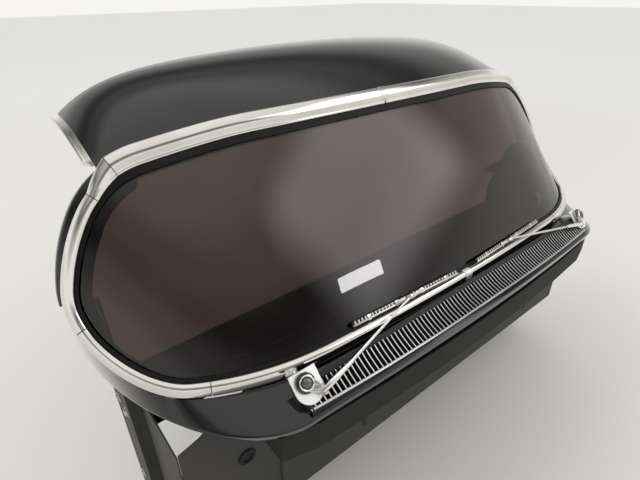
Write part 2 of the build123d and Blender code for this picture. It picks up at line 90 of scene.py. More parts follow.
def onSurface(x, z):
    lo, hi = 0.0, 1.2
    for _ in range(30):
        mid = (lo + hi) / 2
        lo, hi = (mid, hi) if surfacePoint(mid, z).x < x else (lo, mid)
    along = surfacePoint(lo + 0.01, z) - surfacePoint(max(lo - 0.01, 0), z)
    rising = surfacePoint(lo, z + 0.005) - surfacePoint(lo, z - 0.005)
    return surfacePoint(lo, z), along.cross(rising).normalized()


def outlineAt(length):
    x, z, heading, left = 0.0, outline["start"], 0.0, length
    for step, turn in outline["walk"]:
        part = min(left, step)
        a = math.radians(turn) * part / step
        dx, dz = part, 0.0
        if abs(a) > 1e-6:
            dx, dz = part / a * math.sin(a), part / a * (1 - math.cos(a))
        x += dx * math.cos(heading) - dz * math.sin(heading)
        z += dx * math.sin(heading) + dz * math.cos(heading)
        heading += a
        left -= part
        if left <= 0:
            break
    return x, z, heading


stationStore = {}


def station(length):
    # point, way outward in the surface and normal at a walked length; negative is the right side
    key = round(abs(length), 5)
    if key not in stationStore:
        x, z, heading = outlineAt(min(key, outline["length"]))
        p, n = onSurface(max(x, 0.0), z)
        ahead, _ = onSurface(max(x + 0.002 * math.cos(heading), 0.0), z + 0.002 * math.sin(heading))
        t = (ahead - p).normalized()
        if key < 0.003 or key > outline["length"] - 0.003:
            t = Vector((1 if key < 0.5 else -1, 0, 0))
            n = Vector((0, n.y, n.z)).normalized()
            p = Vector((0 if key < 0.003 or key > outline["length"] - 0.001 else p.x, p.y, p.z))
        stationStore[key] = (p, t.cross(n).normalized(), n)
    p, out, n = stationStore[key]
    if length < 0:
        return tuple(Vector((-v.x, v.y, v.z)) for v in (p, out, n))
    return p, out, n


def spread(start, stop, step):
    count = max(2, int(abs(stop - start) / step) + 1)
    return [start + (stop - start) * k / (count - 1) for k in range(count)]


def rounded(section, radius, steps=3):
    # a closed outline with its corners eased
    points, count = [], len(section)
    for k in range(count):
        a, b, c = (Vector(section[(k + d) % count]) for d in (-1, 0, 1))
        before = b + (a - b).normalized() * min(radius, (a - b).length * 0.45)
        after = b + (c - b).normalized() * min(radius, (c - b).length * 0.45)
        for i in range(steps + 1):
            f = i / steps
            points.append(before * (1 - f) ** 2 + b * 2 * f * (1 - f) + after * f * f)
    return points


def makeObject(name, mesh, material, body, replaced=(), sharp=32):
    mesh.set_sharp_from_angle(angle=math.radians(sharp))
    piece = bpy.data.objects.new(name, mesh)
    bpy.context.scene.collection.objects.link(piece)
    piece.data.materials.append(material)
    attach(piece, body)
    if replaced:
        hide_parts(*replaced)
    return piece


def meshFrom(name, verts, faces, weld=0.0):
    mesh = bpy.data.meshes.new(name)
    mesh.from_pydata([tuple(v) for v in verts], [], faces)
    bm = bmesh.new()
    bm.from_mesh(mesh)
    if weld:
        bmesh.ops.remove_doubles(bm, verts=bm.verts, dist=weld)
    bmesh.ops.recalc_face_normals(bm, faces=bm.faces)
    for face in bm.faces:
        face.smooth = True
    bm.to_mesh(mesh)
    bm.free()
    return mesh


class Shape:
    # gathers points and faces for one mesh
    def __init__(self):
        self.verts, self.faces = [], []

    def grid(self, rows, closedRow=True, caps=True, closedRows=False):
        base, wide = len(self.verts), len(rows[0])
        for row in rows:
            self.verts.extend(row)
        last = len(rows) if closedRows else len(rows) - 1
        for i in range(last):
            j = (i + 1) % len(rows)
            for k in range(wide if closedRow else wide - 1):
                m = (k + 1) % wide
                self.faces.append((base + i * wide + k, base + i * wide + m, base + j * wide + m,
                                   base + j * wide + k))
        if closedRow and caps and not closedRows:
            self.faces.append(tuple(base + k for k in range(wide)))
            self.faces.append(tuple(base + (len(rows) - 1) * wide + k for k in reversed(range(wide))))

    def lathe(self, matrix, profile, segments=40):
        rows = []
        for k in range(segments):
            a = 2 * math.pi * k / segments
            rows.append([matrix @ Vector((r * math.cos(a), r * math.sin(a), z)) for r, z in profile])
        self.grid(rows, closedRow=False, closedRows=True)

    def bar(self, matrix, stops, ease=0.3):
        # stops: along, across, up, width, height; a bar of eased rectangular section along X
        rows = []
        for x, y, z, wide, high in stops:
            section = rounded([(-wide / 2, -high / 2), (wide / 2, -high / 2), (wide / 2, high / 2),
                               (-wide / 2, high / 2)],
                              min(wide, high) * ease, 3)
            rows.append([matrix @ Vector((x, y + q.x, z + q.y)) for q in section])
        self.grid(rows)

    def plate(self, matrix, points, low, high, ease=0.0004):
        # a flat plate of a given outline, its two edges eased
        centre = sum((Vector(p) for p in points), Vector((0, 0))) / len(points)
        rows = []
        for z, shrink in ((low, ease), (low + ease, 0), (high - ease, 0), (high, ease)):
            row = []
            for p in points:
                q = Vector(p)
                q = q + (centre - q).normalized() * shrink
                row.append(matrix @ Vector((q.x, q.y, z)))
            rows.append(row)
        self.grid(rows)

    def make(self, name, material, body, replaced=(), slotName=None, sharp=32, weld=0.0):
        return makeObject(name, meshFrom(name, self.verts, self.faces, weld), material, body, replaced,
                          sharp)


def basis(origin, xWay, zWay):
    z = Vector(zWay).normalized()
    x = (Vector(xWay) - z * z.dot(Vector(xWay))).normalized()
    y = z.cross(x)
    return Matrix(((x.x, y.x, z.x, origin[0]), (x.y, y.y, z.y, origin[1]), (x.z, y.z, z.z, origin[2]),
                   (0, 0, 0, 1)))


def mirrored(shape):
    other = Shape()
    other.verts = [Vector((-v.x, v.y, v.z)) for v in shape.verts]
    other.faces = list(shape.faces)
    return other


def bothHands(shape, name, material, bodies, replaced=None, slotName=None, sharp=32):
    for side, one, body in (("Left", shape, bodies[0]), ("Right", mirrored(shape), bodies[1])):
        gone = [r + "_" + side.lower() for r in replaced or ()]
        one.make(name + side, material, body, gone, slotName, sharp)


def sectionLoop(length, section):
    p, out, n = station(length)
    return [glassBase + p + out * q[0] + n * q[1] for q in section]


# Finishes: shared effects are node groups, each material gives them its own values
def newGroup(name, inputs, outputs):
    group = bpy.data.node_groups.new(name, "ShaderNodeTree")
    for label, default in inputs:
        group.interface.new_socket(label, in_out="INPUT",
                                   socket_type="NodeSocketFloat").default_value = default
    for label in outputs:
        group.interface.new_socket(label, in_out="OUTPUT", socket_type="NodeSocketFloat")
    start = group.nodes.new("NodeGroupInput")
    end = group.nodes.new("NodeGroupOutput")
    return group, start, end


def mathNode(tree, operation, a, b=None, clamp=False):
    node = tree.nodes.new("ShaderNodeMath")
    node.operation = operation
    node.use_clamp = clamp
    for socket, value in zip(node.inputs, (a, b)):
        if value is None:
            continue
        if isinstance(value, (int, float)):
            socket.default_value = value
        else:
            tree.links.new(value, socket)
    return node.outputs[0]


def noiseNode(tree, vector, scale, detail=4.0, roughness=0.5):
    node = tree.nodes.new("ShaderNodeTexNoise")
    node.inputs["Detail"].default_value = detail
    node.inputs["Roughness"].default_value = roughness
    tree.links.new(vector, node.inputs["Vector"])
    if isinstance(scale, (int, float)):
        node.inputs["Scale"].default_value = scale
    else:
        tree.links.new(scale, node.inputs["Scale"])
    return node.outputs["Fac"]


def rampNode(tree, value, low, high):
    node = tree.nodes.new("ShaderNodeMapRange")
    node.interpolation_type = "SMOOTHSTEP"
    node.inputs["From Min"].default_value = low
    node.inputs["From Max"].default_value = high
    tree.links.new(value, node.inputs["Value"])
    return node.outputs["Result"]


def makeDustGroup():
    # dust that settles on faces that look up, broken up at two scales
    group, start, end = newGroup("settledDust", [("Scale", 30.0), ("Amount", 0.5)], ["Mask"])
    place = group.nodes.new("ShaderNodeTexCoord").outputs["Object"]
    normal = group.nodes.new("ShaderNodeSeparateXYZ")
    group.links.new(group.nodes.new("ShaderNodeNewGeometry").outputs["Normal"], normal.inputs[0])
    facing = rampNode(group, normal.outputs["Z"], 0.1, 0.95)
    coarse = rampNode(group, noiseNode(group, place, start.outputs["Scale"], 5.0, 0.6), 0.35, 0.75)
    speck = rampNode(group, noiseNode(group, place, 900.0, 2.0), 0.55, 0.72)
    mix = mathNode(group, "ADD", mathNode(group, "MULTIPLY", coarse, 0.6),
                   mathNode(group, "MULTIPLY", speck, 0.4))
    mask = mathNode(group, "MULTIPLY", mathNode(group, "MULTIPLY", mix, facing), start.outputs["Amount"],
                    True)
    group.links.new(mask, end.inputs["Mask"])
    return group


def makeScratchGroup():
    # fine hairline scratches in two directions, with a mask and a height
    group, start, end = newGroup("hairlines", [("Scale", 60.0), ("Amount", 0.5)], ["Mask", "Height"])
    place = group.nodes.new("ShaderNodeTexCoord").outputs["Object"]
    lines = []
    for turn in (0.5, -0.9):
        mapping = group.nodes.new("ShaderNodeMapping")
        mapping.inputs["Rotation"].default_value = (turn, turn * 0.7, turn * 1.3)
        mapping.inputs["Scale"].default_value = (1.0, 24.0, 24.0)
        group.links.new(place, mapping.inputs["Vector"])
        lines.append(rampNode(group, noiseNode(group, mapping.outputs[0], start.outputs["Scale"], 2.0,
                                               0.4), 0.62, 0.70))
    both = mathNode(group, "MAXIMUM", lines[0], lines[1])
    mask = mathNode(group, "MULTIPLY", both, start.outputs["Amount"], True)
    group.links.new(mask, end.inputs["Mask"])
    group.links.new(mathNode(group, "SUBTRACT", 1.0, mask), end.inputs["Height"])
    return group


def makePeelGroup():
    # slow waviness of a sprayed or pressed surface with a finer skin on it
    group, start, end = newGroup("sprayedSkin", [("Scale", 120.0), ("Fine", 0.3)], ["Height", "Shade"])
    place = group.nodes.new("ShaderNodeTexCoord").outputs["Object"]
    slow = noiseNode(group, place, start.outputs["Scale"], 2.0, 0.4)
    fine = noiseNode(group, place, mathNode(group, "MULTIPLY", start.outputs["Scale"], 6.0), 3.0, 0.6)
    height = mathNode(group, "ADD", slow, mathNode(group, "MULTIPLY", fine, start.outputs["Fine"]))
    group.links.new(height, end.inputs["Height"])
    group.links.new(rampNode(group, noiseNode(group, place, 7.0, 3.0), 0.3, 0.7), end.inputs["Shade"])
    return group


dustGroup, scratchGroup, peelGroup = makeDustGroup(), makeScratchGroup(), makePeelGroup()


def placeGroup(tree, group, **values):
    node = tree.nodes.new("ShaderNodeGroup")
    node.node_tree = group
    for label, value in values.items():
        node.inputs[label].default_value = value
    return node


def mixColor(tree, factor, first, second):
    node = tree.nodes.new("ShaderNodeMix")
    node.data_type = "RGBA"
    for socket, value in ((node.inputs[6], first), (node.inputs[7], second)):
        if isinstance(value, tuple):
            socket.default_value = (*value, 1)
        else:
            tree.links.new(value, socket)
    if isinstance(factor, (int, float)):
        node.inputs[0].default_value = factor
    else:
        tree.links.new(factor, node.inputs[0])
    return node.outputs[2]


finishes = {
    # color, second shade, metallic, roughness, spread of roughness, coat, dust, scratches, bump, skin scale,
    # and for some a specular level of their own
    "blackPaint": {"color": (0.0035, 0.0035, 0.004), "shade": (0.006, 0.006, 0.007), "metallic": 0.0,
                   "rough": 0.10, "more": 0.10,
                   "coat": 1.0, "dust": 0.08, "scratch": 0.10, "bump": 0.02, "skin": 260.0,
                   "specular": 0.1},
    "roofPaint": {"color": (0.0030, 0.0030, 0.0034), "shade": (0.005, 0.005, 0.006), "metallic": 0.0,
                  "rough": 0.12, "more": 0.08,
                  "coat": 1.0, "dust": 0.05, "scratch": 0.06, "bump": 0.02, "skin": 240.0,
                  "specular": 0.05},
    "chrome": {"color": (0.82, 0.80, 0.76), "shade": (0.70, 0.68, 0.64), "metallic": 1.0, "rough": 0.05,
               "more": 0.12,
               "coat": 0.0, "dust": 0.10, "scratch": 0.25, "bump": 0.03, "skin": 90.0},
    "brushedTrim": {"color": (0.72, 0.71, 0.68), "shade": (0.56, 0.55, 0.52), "metallic": 1.0,
                    "rough": 0.20, "more": 0.18,
                    "coat": 0.0, "dust": 0.15, "scratch": 0.6, "bump": 0.05, "skin": 140.0},
    # pale grille finish: the grille's metallic paint made pale as a painted highlight; only the vent faces
    # that look up keep it
    "grillePaint": {"color": (0.52, 0.515, 0.51), "shade": (0.40, 0.395, 0.39), "metallic": 0.7,
                    "rough": 0.26, "more": 0.20,
                    "coat": 0.2, "dust": 0.15, "scratch": 0.3, "bump": 0.05, "skin": 300.0},
    "satinPlate": {"color": (0.88, 0.88, 0.87), "shade": (0.80, 0.80, 0.79), "metallic": 0.7,
                   "rough": 0.36, "more": 0.12,
                   "coat": 0.0, "dust": 0.10, "scratch": 0.4, "bump": 0.05, "skin": 200.0},
    "greyDome": {"color": (0.16, 0.16, 0.165), "shade": (0.11, 0.11, 0.115), "metallic": 0.8,
                 "rough": 0.25, "more": 0.15,
                 "coat": 0.0, "dust": 0.15, "scratch": 0.4, "bump": 0.05, "skin": 200.0},
    # dark vent finish: the frame's own dark colour, and painted shade on the faces of slats and front rim
    # that don't look up
    "ventDark": {"color": (0.014, 0.014, 0.016), "shade": (0.022, 0.022, 0.025), "metallic": 0.0,
                 "rough": 0.42, "more": 0.15,
                 "coat": 0.0, "dust": 0.06, "scratch": 0.2, "bump": 0.06, "skin": 300.0, "specular": 0.2},
    "plenumPaint": {"color": (0.0030, 0.0030, 0.0030), "shade": (0.005, 0.005, 0.005), "metallic": 0.0,
                    "rough": 0.75, "more": 0.15,
                    "coat": 0.0, "dust": 0.02, "scratch": 0.1, "bump": 0.10, "skin": 300.0},
    "undercoat": {"color": (0.018, 0.018, 0.019), "shade": (0.032, 0.031, 0.030), "metallic": 0.0,
                  "rough": 0.55, "more": 0.25,
                  "coat": 0.0, "dust": 0.35, "scratch": 0.2, "bump": 0.25, "skin": 420.0},
    "rubber": {"color": (0.004, 0.004, 0.004), "shade": (0.008, 0.008, 0.008), "metallic": 0.0,
               "rough": 0.40, "more": 0.20,
               "coat": 0.0, "dust": 0.06, "scratch": 0.1, "bump": 0.10, "skin": 600.0, "specular": 0.16},
    "dashPaint": {"color": (0.075, 0.012, 0.010), "shade": (0.050, 0.009, 0.008), "metallic": 0.0,
                  "rough": 0.34, "more": 0.15,
                  "coat": 0.3, "dust": 0.20, "scratch": 0.1, "bump": 0.12, "skin": 520.0},
    "blackGloss": {"color": (0.006, 0.006, 0.006), "shade": (0.010, 0.010, 0.010), "metallic": 0.0,
                   "rough": 0.18, "more": 0.10,
                   "coat": 0.6, "dust": 0.10, "scratch": 0.1, "bump": 0.03, "skin": 300.0},
    "dialFace": {"color": (0.030, 0.032, 0.034), "shade": (0.022, 0.022, 0.024), "metallic": 0.0,
                 "rough": 0.40, "more": 0.10,
                 "coat": 0.5, "dust": 0.05, "scratch": 0.1, "bump": 0.03, "skin": 300.0},
    "paleMark": {"color": (0.55, 0.54, 0.50), "shade": (0.45, 0.44, 0.41), "metallic": 0.0, "rough": 0.45,
                 "more": 0.10,
                 "coat": 0.0, "dust": 0.10, "scratch": 0.1, "bump": 0.02, "skin": 300.0},
}


def makeFinish(name):
    v = finishes[name]
    material = bpy.data.materials.new(name)
    material.use_nodes = True
    tree = material.node_tree
    shader = tree.nodes["Principled BSDF"]
    dust = placeGroup(tree, dustGroup, Scale=18.0, Amount=v["dust"]).outputs["Mask"]
    scratch = placeGroup(tree, scratchGroup, Scale=9.0, Amount=v["scratch"])
    skin = placeGroup(tree, peelGroup, Scale=v["skin"], Fine=0.3)
    base = mixColor(tree, skin.outputs["Shade"], v["color"], v["shade"])
    dusty = (0.30, 0.28, 0.25) if v["metallic"] < 0.5 else (0.42, 0.40, 0.37)
    soft = mathNode(tree, "MULTIPLY", dust, 0.35)
    tree.links.new(mixColor(tree, soft, base, dusty), shader.inputs["Base Color"])
    rough = mathNode(tree, "MULTIPLY", skin.outputs["Shade"], v["more"] * 0.4)
    rough = mathNode(tree, "ADD", rough, mathNode(tree, "MULTIPLY", scratch.outputs["Mask"], v["more"]))
    rough = mathNode(tree, "ADD", rough, mathNode(tree, "MULTIPLY", dust, 0.35))
    tree.links.new(mathNode(tree, "ADD", rough, v["rough"], True), shader.inputs["Roughness"])
    if v["metallic"] == 1.0:
        tree.links.new(mathNode(tree, "SUBTRACT", 1.0, mathNode(tree, "MULTIPLY", dust, 0.5)),
                       shader.inputs["Metallic"])
    else:
        shader.inputs["Metallic"].default_value = v["metallic"]
    shader.inputs["Specular IOR Level"].default_value = v.get("specular", 0.5)
    shader.inputs["Coat Weight"].default_value = v["coat"]
    shader.inputs["Coat Roughness"].default_value = 0.04
    bump = tree.nodes.new("ShaderNodeBump")
    bump.inputs["Strength"].default_value = v["bump"]
    bump.inputs["Distance"].default_value = 0.0006
    height = mathNode(tree, "ADD", skin.outputs["Height"],
                      mathNode(tree, "MULTIPLY", scratch.outputs["Height"], 0.15))
    tree.links.new(height, bump.inputs["Height"])
    tree.links.new(bump.outputs["Normal"], shader.inputs["Normal"])
    return material


def makeGlass(name, color):
    material = bpy.data.materials.new(name)
    material.use_nodes = True
    tree = material.node_tree
    shader = tree.nodes["Principled BSDF"]
    shader.inputs["Transmission Weight"].default_value = 1.0
    shader.inputs["Metallic"].default_value = 0.0
    shader.inputs["IOR"].default_value = 1.5
    dust = placeGroup(tree, dustGroup, Scale=9.0, Amount=0.10).outputs["Mask"]
    scratch = placeGroup(tree, scratchGroup, Scale=5.0, Amount=0.2)
    skin = placeGroup(tree, peelGroup, Scale=14.0, Fine=0.1)
    lighter = tuple(c * 1.25 for c in color)
    tree.links.new(mixColor(tree, skin.outputs["Shade"], color, lighter), shader.inputs["Base Color"])
    rough = mathNode(tree, "ADD", mathNode(tree, "MULTIPLY", dust, 0.06),
                     mathNode(tree, "MULTIPLY", scratch.outputs["Mask"], 0.03))
    tree.links.new(mathNode(tree, "ADD", rough, 0.005, True), shader.inputs["Roughness"])
    return material


finish = {name: makeFinish(name) for name in finishes}
finish["darkGlass"] = makeGlass("darkGlass", (0.055, 0.034, 0.031))
finish["dialGlass"] = makeGlass("dialGlass", (0.80, 0.82, 0.82))
print("stage: finishes made")

nodeFinish = {
    "cowl_side": "undercoat", "firewall": "undercoat", "toe_board": "undercoat",
    "plenum_box": "plenumPaint",
    "cowl_inner_panel": "dashPaint", "instrument_panel": "dashPaint", "instrument_cluster": "blackGloss",
    "dash_strip": "chrome", "wiper_motor": "undercoat", "drip_rail": "chrome",
}
for name, node in nodes.items():
    key = name.replace("_left", "").replace("_right", "")
    node.data.materials.clear()
    node.data.materials.append(finish[nodeFinish.get(key, "blackPaint")])

# Windshield glass: a smooth bent sheet between the surface and the same set back
glassGrid = {"rings": 14}


def buildGlass():
    shape = Shape()
    lengths = spread(-outline["length"], outline["length"], 0.018)[:-1]
    edge = []
    for length in lengths:
        p, out, n = station(length)
        q = p - out * glassShape["inset"]
        edge.append((q.x, q.z))
    middle = Vector((0.0, 0.135))
    layers = []
    for back in (0.0, glassShape["thick"]):
        rows = []
        for ring in range(glassGrid["rings"] + 1):
            f = 1 - (1 - ring / glassGrid["rings"]) ** 1.6
            row = []
            for x, z in edge:
                # rings shrink towards a straight middle line, so that quads stay even
                inner = Vector((max(-0.42, min(0.42, x * 0.6)), middle.y))
                spot = Vector((x, z)).lerp(inner, f)
                q, _ = onSurface(abs(spot.x), spot.y)
                row.append(glassBase + Vector((q.x if spot.x >= 0 else -q.x, q.y + back, q.z)))
            rows.append(row)
        layers.append(rows)
    outer, inner = layers
    shape.grid(list(reversed(outer)) + inner, closedRow=True, caps=False)
    shape.make("windshieldGlass", finish["darkGlass"], "body", ["windshield_glass"], "glass", 40, 0.0004)


buildGlass()

# Sections along the outline, w outward in the surface and n off it
trim = {
    "step": 0.009,
    "sill": [(-0.013, 0.0032), (-0.012, 0.007), (-0.008, 0.0105), (-0.002, 0.0115), (0.003, 0.010),
             (0.012, 0.0035),
             (0.013, 0.0), (0.013, -0.007), (0.011, -0.007), (0.010, 0.001), (0.0, 0.001),
             (-0.002, 0.0032)],
    "crown": [(-0.004, 0.0032), (-0.003, 0.0046), (0.002, 0.006), (0.010, 0.013), (0.016, 0.0145),
              (0.026, 0.0145),
              (0.033, 0.012), (0.036, 0.005), (0.036, -0.002), (0.033, -0.002), (0.031, 0.001),
              (0.0, 0.0032)],
    "seal": [(-0.022, -0.011), (0.008, -0.011), (0.008, 0.0008), (-0.001, 0.0008), (-0.003, 0.003),
             (-0.017, 0.003),
             (-0.020, 0.0024), (-0.020, 0.0012), (-0.003, 0.0012), (-0.003, -0.0074), (-0.022, -0.0074)],
    "garnish": [(-0.036, -0.012), (-0.034, -0.018), (-0.028, -0.022), (-0.011, -0.023), (-0.005, -0.020),
                (-0.005, -0.012)],
    "pillar": [(-0.004, -0.012), (0.030, -0.012), (0.038, -0.020), (0.038, -0.040), (0.010, -0.048),
               (-0.004, -0.034)],
    "header": [(-0.004, -0.012), (0.032, -0.012), (0.052, -0.024), (0.052, -0.034), (0.006, -0.042),
               (-0.004, -0.032)],
    "sillEnd": 0.597, "cornerEnd": 0.772, "sideEnd": 0.992, "capEnd": 1.047, "gap": 0.0006,
}


def sweepTrim(start, stop, section, ease, steps=3, ended=None):
    shape = Shape()
    first = rounded(section, ease, steps)
    last = rounded(ended or section, ease, steps)
    rows = []
    for length in spread(start, stop, trim["step"]):
        f = abs(length - start) / abs(stop - start)
        rows.append(sectionLoop(length, [a.lerp(b, f) for a, b in zip(first, last)]))
    shape.grid(rows)
    return shape


whole = outline["length"] - 0.0005
sweepTrim(-whole, whole, trim["seal"], 0.001, 2).make("glassSeal", finish["rubber"], "body",
                                                      ["windshield_seal"], "seal")
headerStart = 1.102
headerShape = Shape()
headerRows = []
for length in spread(headerStart, outline["length"], trim["step"]):
    headerRows.append(sectionLoop(length, rounded(trim["header"], 0.004)))
for length in spread(outline["length"], headerStart, trim["step"])[1:]:
    headerRows.append(sectionLoop(-length, rounded(trim["header"], 0.004)))
headerShape.grid(headerRows)
headerShape.make("header", finish["undercoat"], "body", ["header"], "undercoat")
bodies = ("body", "body")
gap = trim["gap"]
for label, start, stop, section, ended, gone in (
        ("lowerMoulding", 0.002, trim["sillEnd"] - gap, "sill", "sill", "lower_moulding"),
        ("cornerMoulding", trim["sillEnd"] + gap, trim["cornerEnd"] - gap, "sill", "sill",
         "corner_moulding"),
        ("sideMoulding", trim["cornerEnd"] + gap, trim["sideEnd"] - gap, "sill", "sill", "side_moulding"),
        ("upperCornerMoulding", trim["sideEnd"] + gap, trim["capEnd"] - gap, "sill", "crown",
         "upper_corner_moulding"),
        ("upperMoulding", trim["capEnd"] + gap, outline["length"] - 0.002, "crown", "crown",
         "upper_moulding")):
    bothHands(sweepTrim(start, stop, trim[section], 0.0022, 3, trim[ended]), label, finish["chrome"],
              bodies, [gone], "bright")
trimShape, trimRows = Shape(), []
for length in spread(0.742, 1.084, 0.006):
    size = min(1.0, 0.25 + (length - 0.742) / 0.035, 0.25 + (1.084 - length) / 0.035)
    eased = [Vector((-0.005 + (q.x + 0.005) * size,
                     -0.012 + (q.y + 0.012) * size)) for q in rounded(trim["garnish"], 0.003)]
    trimRows.append(sectionLoop(length, eased))
trimShape.grid(trimRows)
bothHands(trimShape, "pillarTrim", finish["brushedTrim"], bodies, ["pillar_trim"], "bright")
bothHands(sweepTrim(0.812, 1.100, trim["pillar"], 0.004), "windshieldPillar", finish["blackPaint"], bodies,
          ["windshield_pillar"], "paint")

def screwShape(shape, matrix, radius, high, slotted=True):
    profile = [(0.0, high), (radius * 0.5, high * 0.94), (radius * 0.85, high * 0.6), (radius, 0.0),
               (radius, -high), (0.0, -high)]
    shape.lathe(matrix, profile, 20)
    if slotted:
        for turn in (0.0, math.pi / 2):
            cross = matrix @ Matrix.Rotation(turn, 4, "Z")
            shape.bar(cross, [(-radius * 0.5, 0, high, radius * 0.16, high * 0.5),
                              (radius * 0.5, 0, high, radius * 0.16, high * 0.5)])


# Covers over the moulding's middle joints: thin sheet wrapped round the section
for label, length, section, reach, gone in (
        ("lowerJointCover", 0.0, "sill", 0.004, "lower_joint_cover"),
        ("upperJointCover", outline["length"], "crown", 0.006, "upper_joint_cover")):
    p, out, n = station(length)
    line = [Vector(q) for q in rounded(trim[section], 0.0022, 3) if q[1] > reach]
    middle = sum(line, Vector((0, 0))) / len(line)
    outer = [q + (q - middle).normalized() * 0.0015 for q in line]
    inner = [q + (q - middle).normalized() * 0.0003 for q in reversed(line)]
    shape = Shape()
    rows = []
    for x, grown in ((-0.011, -0.0004), (-0.0106, 0), (0.0106, 0), (0.011, -0.0004)):
        rows.append([glassBase + p + Vector((x, 0,
                                             0)) + out * q.x + n * (q.y + grown) for q in outer + inner])
    shape.grid(rows)
    if section == "crown":
        flank = basis(glassBase + p + out * 0.0052 + n * 0.0098, (1, 0, 0), n * 0.8 - out * 0.6)
        screwShape(shape, flank, 0.0030, 0.0014)
    shape.make(label, finish["satinPlate" if section == "sill" else "brushedTrim"], "body", [gone],
               "bright")
print("stage: glass and mouldings")

# Screws that hold the inner pillar trim
screws = {"radius": 0.0042, "high": 0.0016, "places": (0.80, 0.88, 0.96, 1.04)}


screwSet = Shape()
for length in screws["places"]:
    p, out, n = station(length)
    screwShape(screwSet, basis(glassBase + p - out * 0.020 - n * 0.0228, out, -n), screws["radius"],
               screws["high"])
bothHands(screwSet, "trimScrews", finish["chrome"], bodies, None, "bright")

# Cowl top: a crescent between the glass and the front seam, open round the vent
cowl = {
    "straight": 0.474, "front": -0.070, "end": -0.052, "z": -0.046, "endZ": -0.058, "wide": 0.268,
    "deep": 0.500,
    "drop": 0.022, "lift": 0.010, "reach": 0.800, "sheet": 0.003, "flange": 0.016, "edge": 0.0022,
    "cut": 0.4882, "ventRear": -0.0058,
}


def seamPoint(x):
    if x <= cowl["straight"]:
        f = (x / cowl["straight"]) ** 2
        return Vector((x, cowl["front"] + (cowl["end"] - cowl["front"]) * f,
                       cowl["z"] + (cowl["endZ"] - cowl["z"]) * f))
    a = math.asin(min((x - cowl["straight"]) / cowl["wide"], 1))
    return Vector((x, cowl["end"] + cowl["deep"] * (1 - math.cos(a)),
                   cowl["endZ"] - cowl["drop"] * math.sin(a) + cowl["lift"] * (1 - math.cos(a))))


def ventFrontAt(x):
    return -0.0622 + 0.016 * (x / 0.488) ** 2


def cowlLengthAt(x):
    # the walked length at which the panel's rear edge has this x
    lo, hi = 0.0, 0.60
    for _ in range(30):
        mid = (lo + hi) / 2
        p, out, n = station(mid)
        lo, hi = (mid, hi) if (p + out * 0.016 - n * 0.003).x < x else (lo, mid)
    return lo


def cowlLine(x, fan):
    # rear edge, front edge, way up and crown of one line; fan runs from 0 at the vent's end to 1 at the tip
    turnStart = math.asin((cowl["cut"] - cowl["straight"]) / cowl["wide"])
    turn = turnStart + (math.pi / 2 - turnStart) * fan
    length = cowlLengthAt(x) if fan == 0 else cowl["cutLength"] + (cowl["reach"] - cowl["cutLength"]) * fan
    f = length / cowl["reach"]
    p, out, n = station(length)
    g = p + out * 0.016 - n * 0.003
    s = seamPoint(x if fan == 0 else cowl["straight"] + cowl["wide"] * math.sin(turn))
    run = (s - g).normalized()
    up = (n - run * n.dot(run)).normalized()
    return g, s, up, 0.0006 + 0.004 * (1 - f)


def cowlTopPoint(line, v):
    g, s, up, crown = line
    return g.lerp(s, v) + up * crown * math.sin(math.pi * min(v, 1.0)) ** 0.8


def cowlLoop(line, start, stop, edgeFront, count=14):
    top, low = [], []
    for k in range(count + 1):
        v = start + (stop - start) * k / count
        q = cowlTopPoint(line, v)
        top.append(q)
        low.append(q - line[2] * cowl["sheet"])
    if edgeFront:
        run = (line[1] - line[0]).normalized()
        s, up, e, flange = line[1], line[2], cowl["edge"], cowl["flange"]
        top[-1] = s - run * e
        top += [s - run * e * 0.3 - up * e * 0.3, s - up * e, s - up * flange]
        low[-1] = s - run * cowl["sheet"] - up * cowl["sheet"]
        low.append(s - run * cowl["sheet"] - up * flange)
    return [glassBase + q for q in top + list(reversed(low))]


def buildCowlTop():
    shape = Shape()
    cut = cowl["cut"]
    cowl["cutLength"] = cowlLengthAt(cut)
    for side in (1, -1):
        rear, front, full = [], [], []
        for x in spread(0.0, cut, 0.010):
            line = cowlLine(x, 0)
            g, s = line[0], line[1]
            rear.append(cowlLoop(line, 0.0, (g.y - cowl["ventRear"]) / (g.y - s.y), False))
            front.append(cowlLoop(line, (g.y - ventFrontAt(x)) / (g.y - s.y), 1.0, True))
        for k in range(36):
            full.append(cowlLoop(cowlLine(cut, k / 35), 0.0, 1.0, True))
        for rows in (rear, front, full):
            rows = [[Vector((side * v.x, v.y, v.z)) for v in row] for row in rows]
            shape.grid(rows)
    shape.make("cowlTop", finish["blackPaint"], "body", ["cowl_top_panel"], "paint", 40)


buildCowlTop()

# Vent grille: frame rails and rounded fore-and-aft slats on a hollow surface
vent = {
    "half": 0.488, "rear": -0.006, "deep": 0.025, "pitch": 0.0106, "slat": 0.0034, "slatDeep": 0.011,
    "down": 0.001,
    "centre": [(-0.002, -0.010), (-0.0325, -0.0296), (-0.066, -0.041)],
    "end": [(-0.002, -0.010), (-0.026, -0.030), (-0.050, -0.046)],
    # the share for the tops: faces whose upward normal part is below it get painted shade, the rest a
    # painted highlight
    "frontRim": 0.005, "rearRim": 0.009, "endRim": 0.007, "topShare": 0.72,
}


def ventZ(x, y):
    f = min(abs(x) / vent["half"], 1.0)
    a, b, c = (Vector(p).lerp(Vector(q), f) for p, q in zip(vent["centre"], vent["end"]))
    if y > b.x:
        return b.y + (a.y - b.y) * (y - b.x) / (a.x - b.x)
    return b.y + (c.y - b.y) * (y - b.x) / (c.x - b.x)


def ventSmoothZ(x, y):
    # the same hollow with its fold eased
    return sum(ventZ(x, y + d * 0.004) for d in (-2, -1, 0, 1, 2)) / 5


def shadeSidesLightTops(piece, upright):
    # faces that don't look up take the dark finish as painted shade; the faces that look up keep the pale
    # grille finish, which carries a painted highlight
    piece.data.materials.append(finish["ventDark"])
    for face in piece.data.polygons:
        face.material_index = 1 if face.normal.z < upright else 0


